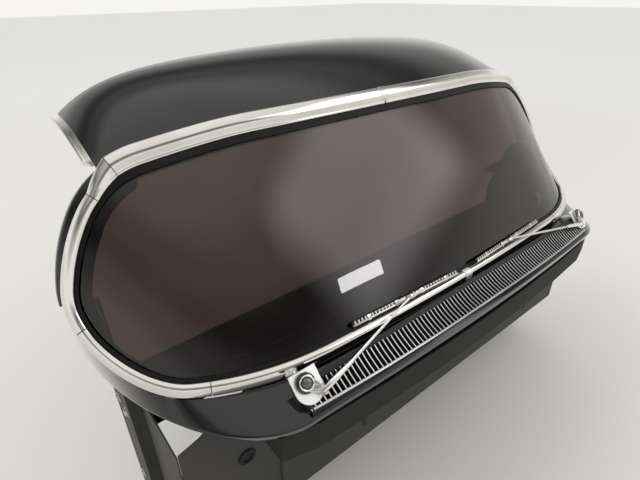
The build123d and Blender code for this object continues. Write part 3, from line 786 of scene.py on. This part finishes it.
def buildVent():
    frameShape, rim, slats = Shape(), Shape(), Shape()
    deep = vent["deep"] - 0.001

    def rail(target, spots, wide, ease):
        # spots: x, y, the way across; the rail lies on the hollow surface
        rows = []
        for x, y, cross in spots:
            section = rounded([(0, 0), (wide, 0), (wide, -deep), (0, -deep)], ease, 4)
            row = []
            for q in section:
                px, py = x + cross[0] * q[0], y + cross[1] * q[0]
                row.append(glassBase + Vector((px, py, ventSmoothZ(px, py) + q[1])))
            rows.append(row)
        target.grid(rows)

    half = vent["half"]
    across = spread(-half, half, 0.012)
    rail(frameShape, [(x, vent["rear"], (0, -1)) for x in across], vent["rearRim"], 0.002)
    rail(rim, [(x, ventFrontAt(x) + 0.0002, (0, 1)) for x in across], vent["frontRim"], 0.0016)
    for side in (1, -1):
        rail(frameShape, [(side * half, y, (-side, 0)) for y in spread(vent["rear"],
                                                                       ventFrontAt(half) + 0.0002, 0.006)],
                                                                       vent["endRim"], 0.002)
    frameShape.make("ventFrame", finish["ventDark"], "body", ["vent_grille"], "grille")
    # the front rim: painted shade on its sides, a painted highlight on its top
    shadeSidesLightTops(rim.make("ventRim", finish["grillePaint"], "body", (), "grille"), vent["topShare"])
    count = int((half - 0.010) // vent["pitch"])
    for k in range(-count, count + 1):
        x = k * vent["pitch"]
        start, stop = vent["rear"] - vent["rearRim"] + 0.001, ventFrontAt(x) + vent["frontRim"] - 0.001
        rows = []
        for y in spread(start, stop, 0.004):
            section = rounded([(-vent["slat"] / 2, 0), (vent["slat"] / 2, 0),
                               (vent["slat"] / 2, -vent["slatDeep"]),
                               (-vent["slat"] / 2, -vent["slatDeep"])], 0.0012, 3)
            rows.append([glassBase + Vector((x + q[0], y,
                                             ventSmoothZ(x, y) - vent["down"] + q[1])) for q in section])
        slats.grid(rows)
    # the slats: painted shade on their sides, a painted highlight on their tops
    shadeSidesLightTops(slats.make("ventSlats", finish["grillePaint"], "body", (), "grille"), vent["topShare"])


buildVent()
print("stage: cowl top and vent")

# Roof front: a crowned panel that falls to the drip rails
roof = {"rear": 0.582, "top": 0.433, "curve": 1.8, "half": 0.660, "crown": 0.040, "shoulder": 0.080,
        "sheet": 0.003}


def buildRoof():
    shape = Shape()
    rows = []
    lengths = spread(1.032, outline["length"], 0.012)
    for length in lengths + [-one for one in reversed(lengths[:-1])]:
        p, out, n = station(length)
        lip, front = p + out * 0.018 - n * 0.006, p + out * 0.037 - n * 0.004
        x = front.x
        drop = roof["crown"] * (x / roof["half"]) ** 2 + roof["shoulder"] * (x / roof["half"]) ** 8
        top = [Vector((x, lip.y, lip.z))]
        for k in range(29):
            f = (k / 28) ** 1.3
            rise = 1 - (1 - f) ** roof["curve"]
            top.append(Vector((x, front.y + (roof["rear"] - front.y) * f,
                               front.z + (roof["top"] - drop - front.z) * rise)))
        low = [v - Vector((0, 0, roof["sheet"])) for v in reversed(top)]
        rows.append([glassBase + v for v in top + low])
    shape.grid(rows)
    shape.make("roofFront", finish["roofPaint"], "body", ["roof_front_panel"], "paint", 45)


buildRoof()

# Drip rail: a gutter along the roof's side edge that closes at its front
gutter = {
    "section": [(-0.010, -0.0033), (-0.010, -0.0053), (0.008, -0.009), (0.014, -0.0095), (0.016, -0.005),
                (0.016, 0.0),
                (0.014, 0.0), (0.014, -0.0045), (0.012, -0.0072), (0.008, -0.0068), (0.0, -0.0033)],
    "start": 0.012, "ease": 0.0012,
}


def buildGutter():
    p, out, n = station(1.032)
    front = p + out * 0.037 - n * 0.004
    drop = roof["crown"] * (front.x / roof["half"]) ** 2 + roof["shoulder"] * (front.x / roof["half"]) ** 8
    section = rounded(gutter["section"], gutter["ease"], 3)
    shape, rows = Shape(), []
    for k in range(41):
        f = gutter["start"] + (1 - gutter["start"]) * k / 40
        rise = 1 - (1 - f) ** roof["curve"]
        edge = Vector((front.x, front.y + (roof["rear"] - front.y) * f,
                       front.z + (roof["top"] - drop - front.z) * rise))
        size = min(1.0, 0.35 + k * 0.22)
        rows.append([glassBase + edge + Vector((q.x * size, 0, q.y * size)) for q in section])
    shape.grid(rows)
    bothHands(shape, "dripRail", finish["chrome"], bodies, ["drip_rail"], "bright")


buildGutter()
print("stage: roof")

# Wipers, drawn on the car's left and mirrored
wiper = {
    "pivot": Vector((0.478, -0.0096, -0.0139)), "axis": Vector((0.076, -0.770, 0.634)).normalized(),
    "bladeMid": Vector((0.184, 0.026, 0.001)), "bladeAlong": Vector((-1, -0.055, 0.004)).normalized(),
    "bladeLength": 0.300, "bladeHigh": 0.012, "hinge": (0.020, 0.025, 0.017), "plateTilt": 45.0,
    "plate": {"low": -0.038, "up": 0.020, "inner": -0.030, "outer": 0.024, "level": 0.0035, "thick": 0.003},
    "ribs": 34, "claws": 4,
}
axis = wiper["axis"]
pivot = glassBase + wiper["pivot"]
bladeTop = glassBase + wiper["bladeMid"] + axis * wiper["bladeHigh"]
sweep = basis(pivot, bladeTop - pivot, axis)
hinge = sweep @ Vector(wiper["hinge"])
arm = basis(hinge, bladeTop - hinge, axis)
armEnd = arm.inverted() @ bladeTop
pin = basis(hinge, arm.col[0].xyz, arm.col[0].xyz.cross(axis))
headBodies, armBodies = ("wiper_left", "wiper_right"), ("wiper_left_arm", "wiper_right_arm")


def buildPlate():
    v = wiper["plate"]
    tilt = math.radians(wiper["plateTilt"])
    normal = Vector((0, -math.sin(tilt), math.cos(tilt)))
    matrix = basis(pivot, (1, 0, 0), normal)
    radius = (v["outer"] - v["inner"]) / 2
    middle = (v["outer"] + v["inner"]) / 2
    points = [(v["inner"], v["up"]), (v["outer"], v["up"])]
    for k in range(25):
        a = math.pi * k / 24
        points.append((middle + radius * math.cos(a), v["low"] + radius - radius * math.sin(a)))
    shape = Shape()
    shape.plate(matrix, points, v["level"], v["level"] + v["thick"], 0.0009)
    # bushing that carries the spindle
    shape.lathe(sweep, [(0.0083, -0.058), (0.012, -0.058), (0.012, 0.0046), (0.0128, 0.006),
                        (0.0128, 0.0075), (0.0118, 0.0082),
                        (0.0083, 0.0082)], 40)
    bothHands(shape, "wiperPlate", finish["satinPlate"], bodies, ["wiper_plate"], "bright")


def buildHead():
    ring, cap, dome, neck = Shape(), Shape(), Shape(), Shape()
    # a black ring round the head's foot: painted shade, standing in for the dark shade round the wiper head
    ring.lathe(sweep, [(0.0, 0.0088), (0.0162, 0.0088), (0.0176, 0.0096), (0.0178, 0.0108),
                       (0.0172, 0.0122), (0.0160, 0.0128),
                       (0.0130, 0.0128), (0.0, 0.0126)], 48)
    cap.lathe(sweep, [(0.0080, -0.064), (0.0080, 0.0120), (0.0128, 0.0124), (0.0138, 0.0136),
                      (0.0139, 0.0152), (0.0132, 0.0168),
                      (0.0118, 0.0174), (0.0106, 0.0168), (0.0098, 0.0152), (0.0094, 0.0144)], 48)
    dome.lathe(sweep, [(0.0096, 0.0140), (0.0092, 0.0156), (0.0088, 0.0172), (0.0076, 0.0188),
                       (0.0052, 0.0198), (0.0, 0.0201)], 48)
    way = Vector(wiper["hinge"])
    flat = Vector((way.x, way.y, 0))
    base = sweep @ Matrix.Rotation(math.atan2(flat.y, flat.x), 4, "Z")
    neck.bar(base, [(0.004, 0, 0.0122, 0.024, 0.0030), (0.012, 0, 0.0124, 0.0225, 0.0034),
                    (0.018, 0, 0.0128, 0.0190, 0.0040),
                    (0.022, 0, 0.0134, 0.0160, 0.0046), (flat.length - 0.0045, 0, 0.0136, 0.0150, 0.0046)],
                    0.45)
    neck.bar(base, [(0.0145, 0, 0.0150, 0.0100, 0.0016), (0.0190, 0, 0.0158, 0.0088, 0.0024),
                    (flat.length - 0.006, 0, 0.0162, 0.0072, 0.0024)], 0.45)
    for side in (1, -1):
        ear = Shape()
        points = [(0.0050 * math.cos(a),
                   0.0050 * math.sin(a)) for a in [math.pi * k / 12 for k in range(-3, 13)]]
        points += [(-0.0075, -0.0045), (0.001, -0.0050)]
        ear.plate(pin, points, *((0.0044, 0.0072) if side > 0 else (-0.0072, -0.0044)), 0.0005)
        neck.grid([ear.verts[k * len(points):(k + 1) * len(points)] for k in range(4)])
    neck.lathe(pin, [(0.0, -0.0086), (0.0024, -0.0086), (0.0030, -0.0080), (0.0030, -0.0074),
                     (0.0020, -0.0074), (0.0020, 0.0074),
                     (0.0030, 0.0074), (0.0030, 0.0080), (0.0024, 0.0086), (0.0, 0.0086)], 20)
    # the black ring is painted shade round the head
    bothHands(ring, "wiperHeadRing", finish["blackGloss"], headBodies, ["wiper_head"], "bright")
    bothHands(cap, "wiperHeadCap", finish["chrome"], headBodies, None, "bright")
    bothHands(dome, "wiperHeadDome", finish["greyDome"], headBodies, None, "bright")
    bothHands(neck, "wiperHeadNeck", finish["brushedTrim"], headBodies, None, "bright")


def buildArm():
    channel, rod, clip = Shape(), Shape(), Shape()
    # pressed channel: three walls with an open underside
    rows = []
    for x, z, wide, high in ((-0.004, 0.0018, 0.0078, 0.0062), (0.004, 0.0012, 0.0082, 0.0066),
                             (0.014, 0.0002, 0.0104, 0.0066),
                             (0.036, -0.0022, 0.0092, 0.0056), (0.056, -0.0044, 0.0076, 0.0048),
                             (0.072, -0.0060, 0.0066, 0.0042)):
        t, w, h = 0.0009, wide / 2, high / 2
        outside = [(-w, -h), (-w, h * 0.5), (-w * 0.75, h * 0.9), (-w * 0.4, h), (w * 0.4, h),
                   (w * 0.75, h * 0.9), (w, h * 0.5), (w, -h)]
        inside = [(w - t, -h), (w - t, h * 0.5 - t), (w * 0.4, h - t), (-w * 0.4, h - t),
                  (-w + t, h * 0.5 - t), (-w + t, -h)]
        rows.append([arm @ Vector((x, y, z + q)) for y, q in outside + inside])
    channel.grid(rows)
    channel.bar(arm, [(-0.0036, 0, 0.0, 0.0074, 0.0070), (0.0030, 0, 0.0, 0.0074, 0.0070)], 0.4)
    # tension spring under the channel
    turns, radius = 15, 0.0017
    path = []
    for k in range(turns * 12 + 1):
        a = 2 * math.pi * k / 12
        path.append(Vector((0.008 + 0.030 * k / (turns * 12), radius * math.cos(a),
                            -0.0032 + radius * math.sin(a))))
    rows = []
    for k, q in enumerate(path):
        ahead = path[min(k + 1, len(path) - 1)] - path[max(k - 1, 0)]
        way = ahead.normalized()
        one = way.cross(Vector((1, 0, 0))).normalized()
        two = way.cross(one)
        rows.append([arm @ (q + one * 0.0005 * math.cos(t) + two * 0.0005 * math.sin(t))
                     for t in [math.pi * i / 3 for i in range(6)]])
    rod.grid(rows)
    endZ = armEnd.z
    rod.bar(arm, [(0.052, 0, -0.0046, 0.0040, 0.0020), (0.080, 0, -0.0086, 0.0050, 0.0022),
                  (0.140, 0, endZ * 0.52 + 0.002, 0.0050, 0.0022),
                  (0.198, 0, endZ * 0.80 + 0.004, 0.0048, 0.0022),
                  (0.214, 0, endZ * 0.86 + 0.004, 0.0048, 0.0022),
                  (0.250, 0, endZ + 0.0040, 0.0044, 0.0020),
                  (armEnd.x + 0.010, 0, endZ + 0.0026, 0.0042, 0.0020)], 0.35)
    for x in (0.066, 0.071):
        f = (x - 0.056) / 0.014
        rod.bar(arm, [(x - 0.0012, 0, -0.0062 - 0.001 * f, 0.0066, 0.0052),
                      (x + 0.0012, 0, -0.0064 - 0.001 * f, 0.0066, 0.0052)], 0.3)
    tip = basis(bladeTop, wiper["bladeAlong"], axis)
    clip.bar(tip, [(-0.014, 0, 0.0008, 0.0072, 0.0030), (-0.006, 0, 0.0022, 0.0086, 0.0052),
                   (0.006, 0, 0.0022, 0.0086, 0.0052),
                   (0.013, 0, 0.0006, 0.0070, 0.0028)], 0.35)
    across = basis(bladeTop + axis * 0.001, axis, tip.col[1].xyz)
    clip.lathe(across, [(0.0, -0.0058), (0.0016, -0.0058), (0.0021, -0.0052), (0.0021, 0.0052),
                        (0.0016, 0.0058), (0.0, 0.0058)], 18)
    bothHands(channel, "wiperArmChannel", finish["chrome"], armBodies, ["wiper_arm"], "bright")
    bothHands(rod, "wiperArmRod", finish["brushedTrim"], armBodies, None, "bright")
    bothHands(clip, "wiperArmClip", finish["brushedTrim"], armBodies, None, "bright")


def buildBlade():
    carrier, lip, backing = Shape(), Shape(), Shape()
    along = wiper["bladeAlong"]
    up = axis - along * axis.dot(along)
    matrix = basis(glassBase + wiper["bladeMid"], along, up)
    half = wiper["bladeLength"] / 2
    backing.bar(matrix, [(-half, 0, 0.0058, 0.006, 0.0014), (-half + 0.004, 0, 0.0058, 0.0100, 0.0018),
                         (half - 0.004, 0, 0.0058, 0.0100, 0.0018), (half, 0, 0.0058, 0.006, 0.0014)], 0.42)
    # a bright spine along the lower edge and cross ribs above it
    spine = matrix @ Matrix.Translation((0, 0.0024, 0))
    carrier.bar(spine, [(-half + 0.002, 0, 0.0066, 0.0026, 0.0014),
                        (-half + 0.006, 0, 0.0070, 0.0034, 0.0022),
                        (half - 0.006, 0, 0.0070, 0.0034, 0.0022),
                        (half - 0.002, 0, 0.0066, 0.0026, 0.0014)], 0.42)
    for k in range(wiper["ribs"]):
        x = -half + 0.008 + (2 * half - 0.016) * k / (wiper["ribs"] - 1)
        rib = matrix @ Matrix.Translation((x, -0.0022, 0.0068)) @ Matrix.Rotation(math.pi / 2, 4, "Z")
        carrier.bar(rib, [(-0.0028, 0, 0, 0.0034, 0.0012), (0.0034, 0, 0, 0.0034, 0.0012)], 0.4)
    # bridge over the middle with its rivets
    carrier.bar(matrix, [(-0.042, 0, 0.0082, 0.0054, 0.0016), (-0.030, 0, 0.0096, 0.0068, 0.0020),
                         (-0.012, 0, 0.0108, 0.0072, 0.0022),
                         (0.012, 0, 0.0108, 0.0072, 0.0022), (0.030, 0, 0.0096, 0.0068, 0.0020),
                         (0.042, 0, 0.0082, 0.0054, 0.0016)], 0.4)
    for x in (-0.038, 0.038):
        screwShape(carrier, matrix @ Matrix.Translation((x, 0, 0.0090)), 0.0017, 0.0009, False)
    for k in range(wiper["claws"]):
        x = half * (-0.72 + 1.44 * k / (wiper["claws"] - 1))
        carrier.bar(matrix, [(x - 0.004, 0, 0.0058, 0.0110, 0.0042),
                             (x + 0.004, 0, 0.0058, 0.0110, 0.0042)], 0.3)
    # rubber: a head in the carrier and a lip that thins towards the glass
    rows = []
    for x in (-half + 0.003, -half + 0.0045, half - 0.0045, half - 0.003):
        s = 0.7 if abs(x) > half - 0.004 else 1.0
        section = [(-0.0030, 0.0048), (-0.0030, 0.0036), (-0.0010, 0.0032), (-0.0008, 0.0020),
                   (-0.0003, 0.0010), (0.0003, 0.0010),
                   (0.0008, 0.0020), (0.0010, 0.0032), (0.0030, 0.0036), (0.0030, 0.0048)]
        rows.append([matrix @ Vector((x, y * s, z)) for y, z in section])
    lip.grid(rows)
    bothHands(carrier, "wiperBlade", finish["brushedTrim"], armBodies, ["wiper_blade"], "bright")
    bothHands(backing, "wiperBladeBacking", finish["blackGloss"], armBodies, None, "bright")
    bothHands(lip, "wiperRubber", finish["rubber"], armBodies, ["wiper_rubber"], "seal")


buildPlate()
buildHead()
buildArm()
buildBlade()
print("stage: wipers")

# Instrument panel details: dial faces with ticks and needles, lenses, knobs, and beads on the panel's top
dash = {"x": 0.330, "z": -0.118, "face": 0.2692, "dials": (-0.096, 0.0, 0.096), "radius": 0.0295,
        "ticks": 21,
        "knobs": (-0.52, -0.44, 0.06, 0.52), "knobZ": -0.150, "beadZ": -0.0436,
        "beads": (((0.636, 0.186), (0.570, 0.128), (0.472, 0.103), (0.180, 0.087)),
                  ((0.640, 0.232), (0.594, 0.184), (0.480, 0.134), (0.215, 0.116)))}


def smoothLine(points, steps):
    # a curve through the points
    curve = []
    for k in range(len(points) - 1):
        a, b, c, d = (points[max(0, min(len(points) - 1, k + i))] for i in (-1, 0, 1, 2))
        for i in range(steps):
            t = i / steps
            curve.append(0.5 * (2 * b + (c - a) * t + (2 * a - 5 * b + 4 * c - d) * t ** 2
                                + (3 * b - a - 3 * c + d) * t ** 3))
    return curve + [points[-1]]


def buildDash():
    faces, marks, lenses, knobs = Shape(), Shape(), Shape(), Shape()
    for k, offset in enumerate(dash["dials"]):
        centre = glassBase + Vector((dash["x"] + offset, dash["face"], dash["z"]))
        matrix = basis(centre, (-1, 0, 0), (0, 1, 0))
        faces.lathe(matrix, [(0.0, 0.0004), (dash["radius"] * 0.96, 0.0004), (dash["radius"], 0.0),
                             (dash["radius"], -0.001), (0.0, -0.001)], 48)
        for i in range(dash["ticks"]):
            a = math.radians(-30 + 240 * i / (dash["ticks"] - 1))
            long = 0.0050 if i % 5 == 0 else 0.0026
            tick = matrix @ Matrix.Rotation(a, 4, "Z")
            marks.bar(tick, [(dash["radius"] * 0.88 - long, 0, 0.0006, 0.0007, 0.0005),
                             (dash["radius"] * 0.88, 0, 0.0006, 0.0007, 0.0005)])
        needle = matrix @ Matrix.Rotation(math.radians(-20 + 30 * k), 4, "Z")
        marks.bar(needle, [(-0.005, 0, 0.0014, 0.0016, 0.0008), (0.021, 0, 0.0014, 0.0005, 0.0006)])
        lenses.lathe(matrix, [(0.0, 0.0042), (0.018, 0.0038), (dash["radius"], 0.0024),
                              (dash["radius"], 0.0016), (0.018, 0.0028), (0.0, 0.0032)], 48)
    for x in dash["knobs"]:
        matrix = basis(glassBase + Vector((x, 0.2478, dash["knobZ"])), (1, 0, 0), (0, 1, -0.14))
        knobs.lathe(matrix, [(0.0, 0.0), (0.013, 0.0), (0.013, 0.002), (0.006, 0.003), (0.006, 0.006),
                             (0.0095, 0.0068), (0.0105, 0.0085),
                             (0.0100, 0.0115), (0.0060, 0.0128), (0.0, 0.0132)], 32)
    # two thin beads on the panel's top, that follow the glass
    beads = Shape()
    for spots in dash["beads"]:
        rows = []
        line = [Vector((x, y, dash["beadZ"])) for x, y in spots]
        line = [Vector((-v.x, v.y, v.z)) for v in line] + [v for v in reversed(line)]
        curve = smoothLine(line, 12)
        for k, q in enumerate(curve):
            way = (curve[min(k + 1, len(curve) - 1)] - curve[max(k - 1, 0)]).normalized()
            side = Vector((0, 0, 1)).cross(way)
            rows.append([glassBase + q + side * 0.0011 * math.cos(a) + Vector((0, 0, 0.0009)) * math.sin(a)
                         for a in [math.pi * i / 5 for i in range(10)]])
        beads.grid(rows)
    beads.make("dashBeads", finish["chrome"], "body", (), "bright")
    faces.make("dialFaces", finish["dialFace"], "body", (), "dash")
    marks.make("dialMarks", finish["paleMark"], "body", (), "bright")
    lenses.make("dialLenses", finish["dialGlass"], "body", (), "glass")
    knobs.make("dashKnobs", finish["chrome"], "body", (), "bright")


buildDash()

# Fixings on the hidden structure: firewall plugs, the wiper motor's bolts, hinge bolts on the cowl sides
fixings = {"plugs": [(-0.36, -0.30), (0.0, -0.33), (0.36, -0.30), (0.56, -0.22), (-0.56, -0.22)],
           "plugRadius": 0.019,
           "hingeBolts": [(0.300, -0.20), (0.350, -0.20), (0.300, -0.46), (0.350, -0.46)],
           "motor": (-0.110, -0.215)}


def buildFixings():
    plugs, bolts = Shape(), Shape()
    for x, z in fixings["plugs"]:
        matrix = basis(glassBase + Vector((x, 0.070, z)), (1, 0, 0), (0, -1, 0))
        r = fixings["plugRadius"]
        plugs.lathe(matrix, [(0.0, 0.0012), (r * 0.55, 0.0012), (r * 0.62, 0.0032), (r * 0.85, 0.0036),
                             (r, 0.0018), (r, -0.001), (0.0, -0.001)], 32)
    for x, z in ((-0.052, 0.036), (0.052, 0.036), (-0.052, -0.036), (0.052, -0.036)):
        motorX, motorZ = fixings["motor"]
        matrix = basis(glassBase + Vector((motorX + x, 0.0650, motorZ + z)), (1, 0, 0), (0, -1, 0))
        hexBolt(bolts, matrix, 0.0062, 0.0040)
    for y, z in fixings["hingeBolts"]:
        for side in (1, -1):
            matrix = basis(glassBase + Vector((side * 0.706, y, z)), (0, 1, 0), (side, 0, 0))
            hexBolt(bolts, matrix, 0.0080, 0.0050)
    plugs.make("firewallPlugs", finish["rubber"], "body", (), "seal")
    bolts.make("hexBolts", finish["brushedTrim"], "body", (), "bright")


def hexBolt(shape, matrix, radius, high):
    shape.lathe(matrix, [(0.0, 0.0012), (radius * 1.3, 0.0012), (radius * 1.45, 0.0006),
                         (radius * 1.45, -0.001), (0.0, -0.001)], 24)
    points = [(radius * math.cos(math.pi * k / 3), radius * math.sin(math.pi * k / 3)) for k in range(6)]
    shape.plate(matrix, points, 0.0008, high, 0.0006)


buildFixings()
print("stage: details")

# Floor, lights, world and camera
studio = {
    # floorNear and floorFar: the floor's colour near the part and far off; the far colour is painted
    # lighter, painted light that fades the floor into the backdrop
    "floorSize": 60.0, "floorNear": (0.74, 0.725, 0.69), "floorFar": (0.93, 0.925, 0.91),
    "worldLight": 0.82,
    "levels": ((0.0, 0.92), (0.28, 0.92), (0.46, 0.50), (0.60, 0.16), (0.70, 0.34), (0.82, 0.90),
               (1.0, 1.0)),
    "key": {"place": (-2.6, 1.6, 4.2), "size": 2.4, "power": 60.0, "shown": False},
    "fill": {"place": (2.30, -2.15, 3.25), "size": 3.2, "power": 52.0, "shown": True, "fade": 0.24},
    "panel": {"place": (1.828, -2.935, 2.754), "size": 0.63, "power": 4.4, "shown": True},
}
floorMesh = bpy.data.meshes.new("floor")
h = studio["floorSize"] / 2
floorMesh.from_pydata([(-h, -h, 0), (h, -h, 0), (h, h, 0), (-h, h, 0)], [], [(0, 1, 2, 3)])
floor = bpy.data.objects.new("floor", floorMesh)
bpy.context.scene.collection.objects.link(floor)
floor.location.z = cadBox[0].z - 0.0005
floorPaint = bpy.data.materials.new("floorPaint")
floorPaint.use_nodes = True
floorTree = floorPaint.node_tree
floorShader = floorTree.nodes["Principled BSDF"]
# the floor is painted lighter with distance from the part, standing in for light, so that it fades into the
# backdrop
floorPlace = floorTree.nodes.new("ShaderNodeTexCoord").outputs["Object"]
floorReach = floorTree.nodes.new("ShaderNodeVectorMath")
floorReach.operation = "LENGTH"
floorTree.links.new(floorPlace, floorReach.inputs[0])
floorShade = rampNode(floorTree, floorReach.outputs["Value"], 1.2, 7.0)
floorTree.links.new(mixColor(floorTree, floorShade, studio["floorNear"], studio["floorFar"]),
                    floorShader.inputs["Base Color"])
floorShader.inputs["Roughness"].default_value = 0.85
floorMesh.materials.append(floorPaint)


def softenEdges(light, fade):
    # a lamp that fades out towards its edges, like a lit wall
    light.use_nodes = True
    tree = light.node_tree
    spot = tree.nodes.new("ShaderNodeSeparateXYZ")
    tree.links.new(tree.nodes.new("ShaderNodeNewGeometry").outputs["Parametric"], spot.inputs[0])
    level = 1.0
    for axisName in ("X", "Y"):
        for way in (spot.outputs[axisName], mathNode(tree, "SUBTRACT", 1.0, spot.outputs[axisName])):
            level = mathNode(tree, "MULTIPLY", level, rampNode(tree, way, 0.0, fade))
    tree.links.new(level, tree.nodes["Emission"].inputs["Strength"])


for name in ("key", "fill", "panel"):
    v = studio[name]
    light = bpy.data.lights.new(name + "Lamp", "AREA")
    light.shape = "RECTANGLE"
    light.size, light.size_y = v["size"], v["size"] * (0.25 if name == "panel" else 0.8)
    light.energy = v["power"]
    lamp = bpy.data.objects.new(name + "Lamp", light)
    bpy.context.scene.collection.objects.link(lamp)
    lamp.location = v["place"]
    lamp.visible_glossy = v["shown"]
    lamp.rotation_euler = (Vector((0, 0, 0.75)) - Vector(v["place"])).to_track_quat("-Z", "Y").to_euler()
    if name == "fill":
        softenEdges(light, v["fade"])
    if name == "panel":
        away = (Vector(v["place"]) - Vector((0, -0.2, 0.7))).normalized()
        lamp.matrix_world = basis(v["place"], (0.847, 0.357, -0.395), away)

world = bpy.data.worlds.new("studioWorld")
bpy.context.scene.world = world
world.use_nodes = True
worldTree = world.node_tree
background = worldTree.nodes["Background"]
height = worldTree.nodes.new("ShaderNodeSeparateXYZ")
worldTree.links.new(worldTree.nodes.new("ShaderNodeTexCoord").outputs["Generated"], height.inputs[0])
ramp = worldTree.nodes.new("ShaderNodeValToRGB")
ramp.color_ramp.interpolation = "EASE"
while len(ramp.color_ramp.elements) < len(studio["levels"]):
    ramp.color_ramp.elements.new(0.5)
for element, (place, level) in zip(ramp.color_ramp.elements, studio["levels"]):
    element.position = place
    element.color = (level, level * 0.99, level * 0.97, 1)
worldTree.links.new(height.outputs["Z"], ramp.inputs["Fac"])
shown = ramp.outputs["Color"]
path = worldTree.nodes.new("ShaderNodeLightPath")
seen = mathNode(worldTree, "MAXIMUM", path.outputs["Is Camera Ray"], path.outputs["Is Glossy Ray"])
seen = mathNode(worldTree, "MAXIMUM", seen, path.outputs["Is Transmission Ray"])
lightLevel = (studio["worldLight"],) * 3
worldTree.links.new(mixColor(worldTree, seen, lightLevel, shown), background.inputs["Color"])
background.inputs["Strength"].default_value = 1.0

view = {"place": (-0.7799, -0.7700, 1.1524), "yaw": 38.398, "pitch": 29.443, "roll": -0.816,
        "focus": 445.8, "width": 640}


def makeCamera():
    yaw, pitch, roll = (math.radians(view[k]) for k in ("yaw", "pitch", "roll"))
    forward = Vector((math.sin(yaw) * math.cos(pitch), math.cos(yaw) * math.cos(pitch), -math.sin(pitch)))
    right = Vector((math.cos(yaw), -math.sin(yaw), 0))
    up = right.cross(forward)
    level = right * math.cos(roll) + up * math.sin(roll)
    above = up * math.cos(roll) - right * math.sin(roll)
    data = bpy.data.cameras.new("photoCamera")
    data.sensor_fit = "HORIZONTAL"
    data.sensor_width = 36.0
    data.lens = 36.0 * view["focus"] / view["width"]
    data.clip_start = 0.01
    camera = bpy.data.objects.new("photoCamera", data)
    bpy.context.scene.collection.objects.link(camera)
    x, y, z = view["place"]
    camera.matrix_world = Matrix(((level.x, above.x, -forward.x, x), (level.y, above.y, -forward.y, y),
                                  (level.z, above.z, -forward.z, z), (0, 0, 0, 1)))
    bpy.context.scene.camera = camera


makeCamera()
bpy.context.scene.view_settings.view_transform = "Standard"
print("stage: studio")
